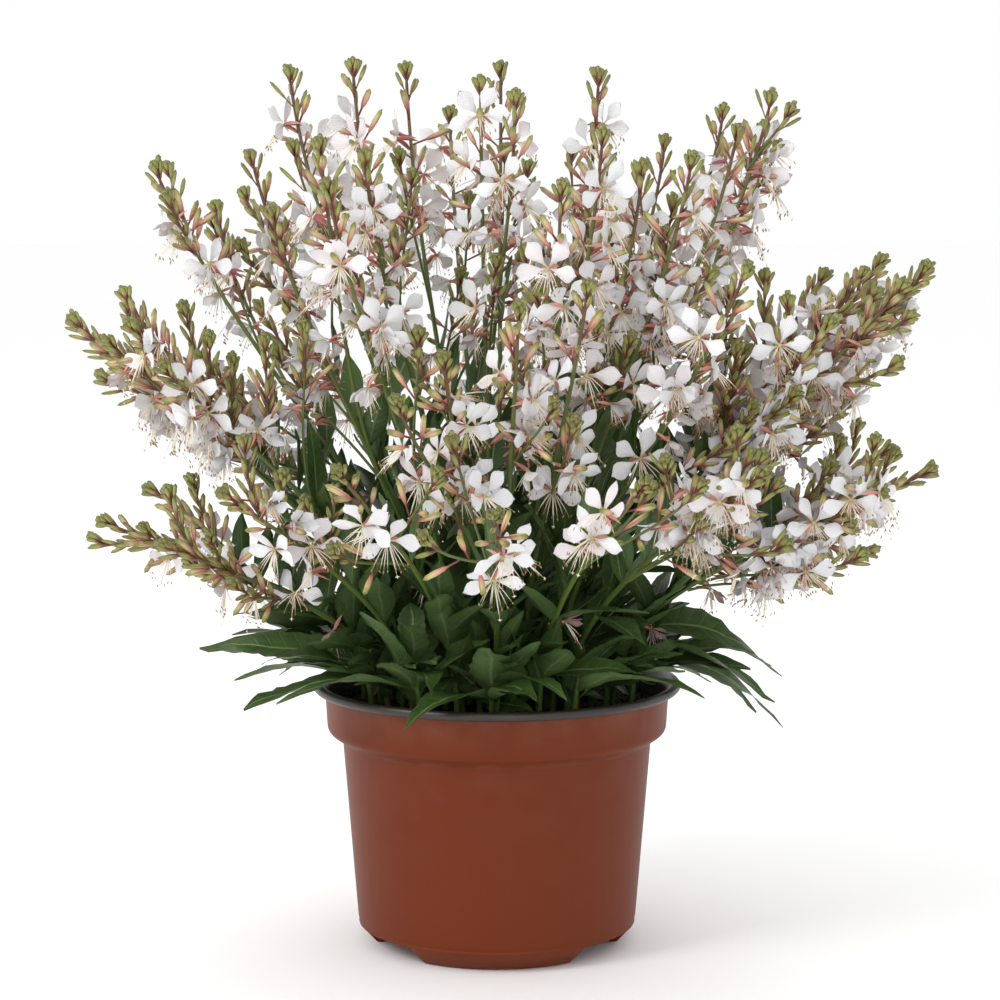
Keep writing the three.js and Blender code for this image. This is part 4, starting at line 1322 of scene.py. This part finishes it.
class GrowingTree(Nodes):
    def __init__(self, name, inputs):
        super().__init__(bpy.data.node_groups.new(name, "GeometryNodeTree"))
        sockets = self.tree.interface
        sockets.new_socket(name="Geometry", in_out="INPUT", socket_type="NodeSocketGeometry")
        for label, kind, value in inputs:
            socket = sockets.new_socket(name=label, in_out="INPUT", socket_type=kind)
            if value is not None:
                socket.default_value = value
        sockets.new_socket(name="Geometry", in_out="OUTPUT", socket_type="NodeSocketGeometry")
        self.given = self.node("NodeGroupInput").outputs
        self.result = self.node("NodeGroupOutput").inputs["Geometry"]

    def attribute(self, name, kind):
        node = self.node("GeometryNodeInputNamedAttribute", {"Name": name}, data_type=kind)
        return next(socket for socket in node.outputs if socket.enabled)

    def finish(self, geometry):
        smooth = self.node("GeometryNodeSetShadeSmooth", {"Geometry": geometry})
        angle = self.node("GeometryNodeInputMeshEdgeAngle").outputs["Unsigned Angle"]
        rims = self.math("GREATER_THAN", angle, 1.5)
        crisp = self.node("GeometryNodeSetShadeSmooth", {"Geometry": smooth.outputs[0], "Selection": rims,
                                                        "Shade Smooth": False}, domain="EDGE")
        done = self.node("GeometryNodeSetMaterial", {"Geometry": crisp.outputs[0],
                                                     "Material": self.given["Finish"]})
        self.tree.links.new(done.outputs[0], self.result)


def shapesTree():
    nodes = GrowingTree("setShapesOnPoints", [
        ("Shapes", "NodeSocketCollection", None), ("Size", "NodeSocketFloat", 1.0),
        ("Size variation", "NodeSocketFloat", 0.05), ("Ripple", "NodeSocketFloat", 0.0),
        ("Ripple scale", "NodeSocketFloat", 60.0), ("Seed", "NodeSocketInt", 1),
        ("Finish", "NodeSocketMaterial", None)])
    given = nodes.given
    shapes = nodes.node("GeometryNodeCollectionInfo", {
        "Collection": given["Shapes"], "Separate Children": True, "Reset Children": True})
    low = nodes.math("SUBTRACT", 1.0, given["Size variation"])
    high = nodes.math("ADD", 1.0, given["Size variation"])
    random = nodes.node("FunctionNodeRandomValue", data_type="FLOAT")
    for key, value in (("Min", low), ("Max", high), ("Seed", given["Seed"])):
        socket = next(s for s in random.inputs if s.enabled and s.name == key)
        nodes.tree.links.new(value, socket)
    factor = nodes.times(next(s for s in random.outputs if s.enabled), given["Size"])
    size = nodes.node("ShaderNodeVectorMath", {0: nodes.attribute("size", "FLOAT_VECTOR"), "Scale": factor},
                      operation="SCALE")
    placed = nodes.node("GeometryNodeInstanceOnPoints", {
        "Points": given["Geometry"], "Instance": shapes.outputs[0], "Pick Instance": True,
        "Instance Index": nodes.attribute("kind", "INT"), "Rotation": nodes.attribute("turn", "QUATERNION"),
        "Scale": size.outputs["Vector"]})
    real = nodes.node("GeometryNodeRealizeInstances", {"Geometry": placed.outputs[0]})
    along = nodes.attribute("along", "FLOAT")
    drop = nodes.times(nodes.times(along, along), nodes.attribute("sag", "FLOAT"))
    down = nodes.node("ShaderNodeCombineXYZ", {"Z": nodes.times(drop, -1.0)})
    sagged = nodes.node("GeometryNodeSetPosition", {"Geometry": real.outputs[0], "Offset": down.outputs[0]})
    noise = nodes.node("ShaderNodeTexNoise", {
        "W": given["Seed"], "Scale": given["Ripple scale"], "Detail": 1.0}, noise_dimensions="4D")
    centred = nodes.node("ShaderNodeVectorMath", {0: noise.outputs["Color"], 1: (0.5, 0.5, 0.5)},
                         operation="SUBTRACT")
    amount = nodes.times(along, given["Ripple"])
    ripple = nodes.node("ShaderNodeVectorMath", {0: centred.outputs[0], "Scale": amount}, operation="SCALE")
    rippled = nodes.node("GeometryNodeSetPosition", {"Geometry": sagged.outputs[0],
                                                     "Offset": ripple.outputs[0]})
    nodes.finish(rippled.outputs[0])
    return nodes.tree


def stemsTree():
    nodes = GrowingTree("growStems", [
        ("Sides", "NodeSocketInt", 6), ("Thickness", "NodeSocketFloat", 1.0),
        ("Finish", "NodeSocketMaterial", None)])
    given = nodes.given
    lines = nodes.node("GeometryNodeMeshToCurve", {0: given["Geometry"]})
    radius = nodes.times(nodes.attribute("radius", "FLOAT"), given["Thickness"])
    thick = nodes.node("GeometryNodeSetCurveRadius", {"Curve": lines.outputs[0], "Radius": radius})
    ring = nodes.node("GeometryNodeCurvePrimitiveCircle", {"Resolution": given["Sides"], "Radius": 1.0})
    tubes = nodes.node("GeometryNodeCurveToMesh", {
        "Curve": thick.outputs[0], "Profile Curve": ring.outputs[0], "Fill Caps": True})
    if "Scale" in tubes.inputs:
        nodes.tree.links.new(radius, tubes.inputs["Scale"])
    real = nodes.node("GeometryNodeRealizeInstances", {"Geometry": tubes.outputs[0]})
    nodes.finish(real.outputs[0])
    return nodes.tree


shapesOnPoints = shapesTree()
growStems = stemsTree()


def startMesh(name, points, edges, values):
    mesh = newMesh(name, [tuple(p) for p in points], edges, [])
    for key, (kind, data) in values.items():
        layer = mesh.attributes.new(key, kind, "POINT")
        layer.data.foreach_set("vector" if kind == "FLOAT_VECTOR" else "value", np.array(data).ravel())
    return mesh


def growPiece(name, tree, mesh, inputs, nodeNames):
    start = addObject(name + "Start", mesh)
    modifier = start.modifiers.new("grow", "NODES")
    modifier.node_group = tree
    for item in tree.interface.items_tree:
        if item.item_type == "SOCKET" and item.in_out == "INPUT" and item.name in inputs:
            modifier[item.identifier] = inputs[item.name]
    grown = evaluatedMesh(start, name)
    bpy.data.objects.remove(start)
    return addPiece(name, grown, nodeNames)


def addPiece(name, mesh, nodeNames):
    piece = addObject(name, mesh)
    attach(piece, "root")
    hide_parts(*nodeNames)
    triangles = sum(len(p.vertices) - 2 for p in mesh.polygons)
    print(f"  {name}: {triangles} triangles")
    return piece


def quaternion(x, y, z):  # from three axes at right angles
    m = np.array([x, y, z]).T
    twists = (1, m[2, 1] - m[1, 2], m[0, 2] - m[2, 0], m[1, 0] - m[0, 1])
    signs = ((1, 1, 1), (1, -1, -1), (-1, 1, -1), (-1, -1, 1))
    sums = [1 + a * m[0, 0] + b * m[1, 1] + c * m[2, 2] for a, b, c in signs]
    return tuple(math.copysign(math.sqrt(max(0, s)) / 2, twist) for s, twist in zip(sums, twists))


class Points:
    def __init__(self):
        self.rows = []

    def add(self, place, axes, size, kind, sag=0.0, tone=0.5, age=0.0):
        self.rows.append((np.asarray(place) * mm, quaternion(*axes), size, kind, sag * mm, tone, age))

    def mesh(self, name):
        place, *columns = zip(*self.rows)
        kinds = {"turn": "QUATERNION", "size": "FLOAT_VECTOR", "kind": "INT", "sag": "FLOAT", "tone": "FLOAT",
                 "age": "FLOAT"}
        values = {}
        for (key, kind), column in zip(kinds.items(), columns):
            values[key] = kind, np.array(column, np.int32 if kind == "INT" else np.float32)
        return startMesh(name, place, [], values)


class Paths:
    def __init__(self):
        self.points, self.edges, self.radius, self.along, self.tone = [], [], [], [], []

    def add(self, points, radii, along, tone=0.5):
        start = len(self.points)
        self.points += [np.asarray(p) * mm for p in points]
        self.edges += [(start + i, start + i + 1) for i in range(len(points) - 1)]
        self.radius += [r * mm for r in radii]
        self.along += list(along)
        self.tone += [tone] * len(points)

    def mesh(self, name):
        return startMesh(name, self.points, self.edges, {
            key: ("FLOAT", np.array(getattr(self, key), np.float32)) for key in ("radius", "along", "tone")})


def frameFrom(x, near):  # axes with x given and z near a direction
    z = unit(near - x * near.dot(x))
    return x, np.cross(z, x), z


def stemPaths(group):
    paths = Paths()
    for plant in group:
        for which, line in enumerate(plant["lines"]):
            count = max(int(line.length / 9), 4)
            parts = np.linspace(0, 1, count + 1)
            points = list(line.smooth(parts))
            radii = [line.radius(line.length * p) * 0.76 for p in parts]
            tall = not plant["leafCount"]
            along = [(0.42 + 0.58 * p if which else p) if tall else 0.3 * p for p in parts]
            if which == 0:
                depth = growth["crownHeight"] - 4 - growth["holeDepth"]
                points.insert(0, vec(plant["foot"][0], plant["foot"][1], depth))
                radii.insert(0, radii[0])
                along.insert(0, 0)
            radii[-1] = 0.3
            paths.add(points, radii, along)
    return paths


def tubePaths(group):
    paths = Paths()
    for plant in group:
        for bloom in plant["blooms"]:
            start, end = bloom["place"]["smooth"], bloom["centre"] + bloom["face"] * 0.5
            length = np.linalg.norm(end - start)
            b = start + unit(bloom["away"] + bloom["place"]["along"]) * 0.4 * length
            c = end - bloom["face"] * 0.42 * length
            parts = np.linspace(0, 1, 8)
            points = [(1 - t) ** 3 * start + 3 * (1 - t) ** 2 * t * b + 3 * (1 - t) * t * t * c + t ** 3 * end
                      for t in parts]
            paths.add(points, [0.5, 0.6, 0.95, 1.0, 0.7, 0.62, 0.75, 1.05], parts, chance(*bloom["seed"], 61))
    return paths


def petalPoints(group):
    points = Points()
    for plant in group:
        for bloom in plant["blooms"]:
            owner, index = bloom["seed"]
            wilt = bloom.get("wilt", 0)
            for i, angle in enumerate(growth["petalAngles"]):
                heading = petalDirection(bloom, angle + 14 * (chance(owner, index, 62 + i) - 0.5))
                cup = bloom["cup"] + 0.3 * (chance(owner, index, 66 + i) - 0.5)
                x = unit(heading + bloom["face"] * cup)
                lean = 0.5 * (chance(owner, index, 70 + i) - 0.5)
                near = bloom["face"] + np.cross(bloom["face"], heading) * lean
                kind = int(5 * chance(owner, index, 74 + i)) % 5
                size = (bloom["size"] * (1 - 0.2 * wilt), bloom["size"] * (1 - 0.55 * wilt), bloom["size"])
                points.add(bloom["centre"] + heading * 0.5, frameFrom(x, near), size, kind,
                           tone=chance(owner, index, 78), age=wilt)
    return points


def bloomPoints(group, salt):
    points = Points()
    for plant in group:
        for bloom in plant["blooms"]:
            owner, index = bloom["seed"]
            axes = frameFrom(bloom["face"], bloom["top"])
            points.add(bloom["centre"], axes, (bloom["size"],) * 3, int(3 * chance(owner, index, salt)) % 3,
                       tone=chance(owner, index, salt + 1))
    return points


def budPoints(group):
    points = Points()
    for plant in group:
        for i, bud in enumerate(plant["buds"]):
            root = bud["place"]["smooth"]
            span = bud["tip"] - root
            length = np.linalg.norm(span)
            points.add(root, frameFrom(span / length, bud["place"]["along"] + bud["away"] * 0.01),
                       (length * mm, bud["halfWidth"] * mm, bud["halfWidth"] * mm), bud["shape"],
                       tone=chance(plant["owner"], i, 81), age=bud["age"])
    return points


def leafPoints(group):
    points = Points()
    for plant in group:
        for i, leaf in enumerate(plant["leaves"]):
            # Leaves low in the plant get lower tones, so less of the light green: partly the darker colour of
            # old leaves, partly painted shade low in the plant.
            normal = np.cross(leaf["side"], leaf["direction"])
            roll = (chance(plant["owner"], i, 82) - 0.5) * 0.8
            near = normal + leaf["side"] * roll
            kind = (0 if leaf["stations"] > 3 else 2) + int(2 * chance(plant["owner"], i, 83)) % 2
            points.add(leaf["place"]["smooth"], frameFrom(leaf["direction"], near),
                       (leaf["length"] * mm, leaf["width"] * mm, leaf["width"] * mm), kind,
                       sag=leaf["droop"] * leaf["length"],
                       tone=chance(plant["owner"], i, 84) * min(max((leaf["root"][2] - 110) / 150, 0.45), 1))
    return points


finishes = {"petal": petalFinish(), "stamen": stamenFinish(), "sepal": sepalFinish(), "tube": tubeFinish(),
            "bud": budFinish(), "stem": stemFinish(), "leaf": leafFinish()}

print("growing the pieces")
for sector in ("front", "right", "back", "left"):
    group = [plant for plant in plants if plant["sector"] == sector]
    names = [plant["node"] for plant in group]
    flowerNames = [name for name in names if name.startswith("spray")]
    growPiece(f"stems_{sector}", growStems, stemPaths(group).mesh("stems"),
              {"Sides": 7, "Finish": finishes["stem"]}, names)
    growPiece(f"flower_tubes_{sector}", growStems, tubePaths(group).mesh("tubes"),
              {"Sides": 5, "Finish": finishes["tube"]}, flowerNames)
    for label, points, shapes, finish, slotName, ripple, owners in (
            ("petals", petalPoints(group), petals, "petal", "petals", 0.002, flowerNames),
            ("stamens", bloomPoints(group, 91), stamens, "stamen", "stamens", 0.001, flowerNames),
            ("sepals", bloomPoints(group, 94), sepals, "sepal", "sepals_and_tubes", 0.001, flowerNames),
            ("buds", budPoints(group), buds, "bud", "buds", 0.0, flowerNames),
            ("leaves", leafPoints(group), blades, "leaf", "foliage", 0.006, names)):
        growPiece(f"{label}_{sector}", shapesOnPoints, points.mesh(label), {
            "Shapes": shapes, "Ripple": ripple, "Ripple scale": 90.0, "Seed": 3, "Finish": finishes[finish]},
            owners)


# Pot

potLook = {
    "segments": 192, "notchMiddles": (-57.5, 57.5, 180),  # degrees from the front
    "notchHalfAngle": 20.5, "notchSlant": 1.4, "notchHeight": 9.5,
    "footLean": 0.908,  # how far the wall of the feet leans out for each millimetre up
    # radius, height and rounding; the dark layer starts above darkFrom
    "profile": [
        (0, 10, 0), (58.4, 10, 0.5), (59.2, 0, 0.5), (63, 0, 0.8), (71.9, 9.8, 0.8),
        (71.4, 11, 0.3), (72.1, 12.8, 0.6), (79.6, 105.4, 0.7), (87.4, 110.6, 2.6), (88.6, 130.6, 0.6),
        (93.4, 131.2, 0.9),
        (95, 132.9, 1.4), (94.3, 135.3, 1.2), (92.4, 135.9, 0.9), (89.4, 134.8, 1.4), (87.2, 131, 1.6),
        (86.1, 114.2, 1.5), (77.6, 108, 1.5), (69.1, 12, 1.0), (0, 12, 0),
    ],
    "darkFrom": 130.7, "wornHeights": (106.5, 129.5), "wornReach": 2.2,
    "drainCount": 6, "drainRing": 40, "drainRadius": 4.5, "drainReach": (5, 12.4), "drainSides": 28,
}


def roundedProfile(rows):
    points = [rows[0][:2]]
    for before, here, after in zip(rows, rows[1:], rows[2:]):
        p = np.array(here[:2], float)
        toBefore, toAfter = np.array(before[:2]) - p, np.array(after[:2]) - p
        reach = min(here[2], 0.45 * np.linalg.norm(toBefore), 0.45 * np.linalg.norm(toAfter))
        a, b = p + unit(toBefore) * reach, p + unit(toAfter) * reach
        steps = 5 if here[2] > 0.7 else 3
        for i in range(steps):
            t = i / (steps - 1)
            points.append(tuple((1 - t) ** 2 * a + 2 * (1 - t) * t * p + t * t * b))
    points.append(rows[-1][:2])
    return points


def notchRise(angle):  # how far the feet are cut away at an angle in degrees
    off = min(abs((angle + 90 - middle + 180) % 360 - 180) for middle in potLook["notchMiddles"])
    inside = potLook["notchHalfAngle"] - off
    return potLook["notchHeight"] * min(max(inside / potLook["notchSlant"] + 0.5, 0), 1)


def drainHoles():
    corners, faces = [], []
    sides = potLook["drainSides"]
    for i in range(potLook["drainCount"]):
        turn = 2 * math.pi * i / potLook["drainCount"]
        middle = polar(1, turn) * potLook["drainRing"]
        start = len(corners)
        for height in potLook["drainReach"]:
            for k in range(sides):
                rim = polar(1, 2 * math.pi * k / sides) * potLook["drainRadius"]
                corners.append(tuple((middle + rim + up * height) * mm))
        low, high = list(range(start, start + sides)), list(range(start + sides, start + 2 * sides))
        faces += [low[::-1], high]
        faces += [(low[k], low[(k + 1) % sides], high[(k + 1) % sides], high[k]) for k in range(sides)]
    return addObject("drainHoles", newMesh("drainHoles", corners, [], faces))


def cutHoles(mesh):
    cutter = drainHoles()
    body = addObject("potStart", mesh)
    modifier = body.modifiers.new("holes", "BOOLEAN")
    modifier.operation = "DIFFERENCE"
    modifier.solver = "EXACT"
    modifier.object = cutter
    cut = evaluatedMesh(body, "nursery_pot")
    bpy.data.objects.remove(body)
    bpy.data.objects.remove(cutter)
    return cut


def makePot():
    profile = roundedProfile(potLook["profile"])
    segments = potLook["segments"]
    angles = [360 * i / segments - 90 for i in range(segments)]
    corners = [(0, 0, profile[0][1] * mm)]
    for radius, height in profile[1:-1]:
        for angle in angles:
            z = max(height, notchRise(angle)) if height < potLook["notchHeight"] else height
            reach = radius + (z - height) * (potLook["footLean"] if radius > 60 else 0)
            corners.append(tuple(polar(reach, angle * degree, z) * mm))
    corners.append((0, 0, profile[-1][1] * mm))
    rings = len(profile) - 2
    faces, dark = [], []
    inside = False
    last = len(corners) - 1
    for i in range(segments):
        n = (i + 1) % segments
        faces.append((0, 1 + n, 1 + i))
        dark.append(0)
        faces.append((last, 1 + (rings - 1) * segments + i, 1 + (rings - 1) * segments + n))
        dark.append(1)
    for ring in range(rings - 1):
        low, high = 1 + ring * segments, 1 + (ring + 1) * segments
        inside = inside or profile[ring + 1][1] > potLook["darkFrom"]
        for i in range(segments):
            n = (i + 1) % segments
            faces.append((low + i, low + n, high + n, high + i))
            dark.append(1 if inside else 0)
    mesh = newMesh("nursery_pot", corners, [], faces)
    mesh.materials.append(potFinish())
    mesh.materials.append(lipFinish())
    mesh.polygons.foreach_set("material_index", dark)
    wear = []
    for corner in corners:
        nearest = min(abs(corner[2] / mm - height) for height in potLook["wornHeights"])
        wear.append(max(1 - nearest / potLook["wornReach"], 0))
    mesh.attributes.new("wear", "FLOAT", "POINT").data.foreach_set("value", wear)
    mesh.polygons.foreach_set("use_smooth", [True] * len(faces))
    mesh.validate()
    return addPiece("nursery_pot", cutHoles(mesh), ["pot"])


makePot()
print("pot made")


# Peat

peatLook = {
    "radius": 85.4, "height": 123.4, "rings": 46, "segments": 150, "relief": 1.5, "crumbs": 700,
    "wall": [(85.4, 114), (77, 107.6), (68.6, 12.5)], "bottom": 12.5,
}


def makePeat():
    corners, faces = [], []
    rings, segments = peatLook["rings"], peatLook["segments"]
    for ring in range(1, rings + 1):
        radius = peatLook["radius"] * ring / rings
        for i in range(segments):
            angle = 2 * math.pi * i / segments
            x, y = radius * math.cos(angle), radius * math.sin(angle)
            coarse = math.sin(x * 0.61 + 1.3 * math.sin(y * 0.37))
            coarse += math.sin(y * 0.73 + 1.1 * math.sin(x * 0.43))
            lumps = (coarse + 0.6 * math.sin(x * 1.9 + y * 1.3) * math.sin(y * 2.3 - x * 1.1)) / 2.6
            fine = chance(ring, i, 7) - 0.5
            z = peatLook["height"] - 1.2 + peatLook["relief"] * (lumps * 0.6 + fine * 0.5)
            corners.append((x * mm, y * mm, z * mm))
    top = len(corners)
    corners.append((0, 0, (peatLook["height"] - 1) * mm))
    for radius, height in peatLook["wall"]:
        corners += [tuple(polar(radius, 2 * math.pi * i / segments, height) * mm) for i in range(segments)]
    bottom = len(corners)
    corners.append((0, 0, peatLook["bottom"] * mm))
    for i in range(segments):
        n = (i + 1) % segments
        faces.append((top, i, n))
        for ring in range(rings - 1):
            a, b = ring * segments, (ring + 1) * segments
            faces.append((a + i, b + i, b + n, a + n))
        starts = [(rings - 1) * segments] + [top + 1 + k * segments for k in range(3)]
        for a, b in zip(starts, starts[1:]):
            faces.append((a + i, b + i, b + n, a + n))
        faces.append((bottom, starts[-1] + n, starts[-1] + i))
    mesh = newMesh("peat", corners, [], faces)
    mesh.materials.append(peatFinish())
    mesh.validate()
    mesh.update()
    return addPiece("peat", mesh, ["soil"])


def makeCrumbs(folder):
    for kind in range(3):
        shape = Shape()
        radii = [0, 0.8 + 0.1 * kind, 0.95 - 0.15 * kind, 0]
        points = [vec(-0.7, 0, 0), vec(-0.3, 0.1, 0), vec(0.35, -0.1, 0.1 * kind), vec(0.8, 0, 0)]
        shape.tube(points, radii, 5, [0] * 4)
        shape.build(f"crumb{kind}", folder)


def scatterCrumbs():
    points = Points()
    feet = np.array([plant["foot"][:2] for plant in plants])
    for i in range(peatLook["crumbs"]):
        radius = (peatLook["radius"] - 2) * math.sqrt(chance(i, 2, 4))
        spot = polar(radius, 2 * math.pi * chance(i, 1, 4), peatLook["height"] - 0.7)
        if np.linalg.norm(feet - spot[:2], axis=1).min() < 4:
            continue
        x = unit(vec(chance(i, 3, 4) - 0.5, chance(i, 4, 4) - 0.5, 0.4 * (chance(i, 5, 4) - 0.5)))
        size = (0.6 + 1.2 * chance(i, 6, 4) ** 2) * mm
        points.add(spot, frameFrom(x, up), (size,) * 3, i % 3)
    crumbs = hiddenFolder("crumbs", makeCrumbs)
    growPiece("peat_crumbs", shapesOnPoints, points.mesh("crumbs"),
              {"Shapes": crumbs, "Ripple": 0.0, "Finish": peatFinish()}, ["soil"])


makePeat()
scatterCrumbs()
print("peat made")

for folder in list(bpy.data.collections):
    if folder.name in ("petals", "stamens", "sepals", "buds", "blades", "crumbs"):
        for shape in list(folder.objects):
            bpy.data.objects.remove(shape)
        bpy.data.collections.remove(folder)
for tree in (shapesOnPoints, growStems):
    bpy.data.node_groups.remove(tree)
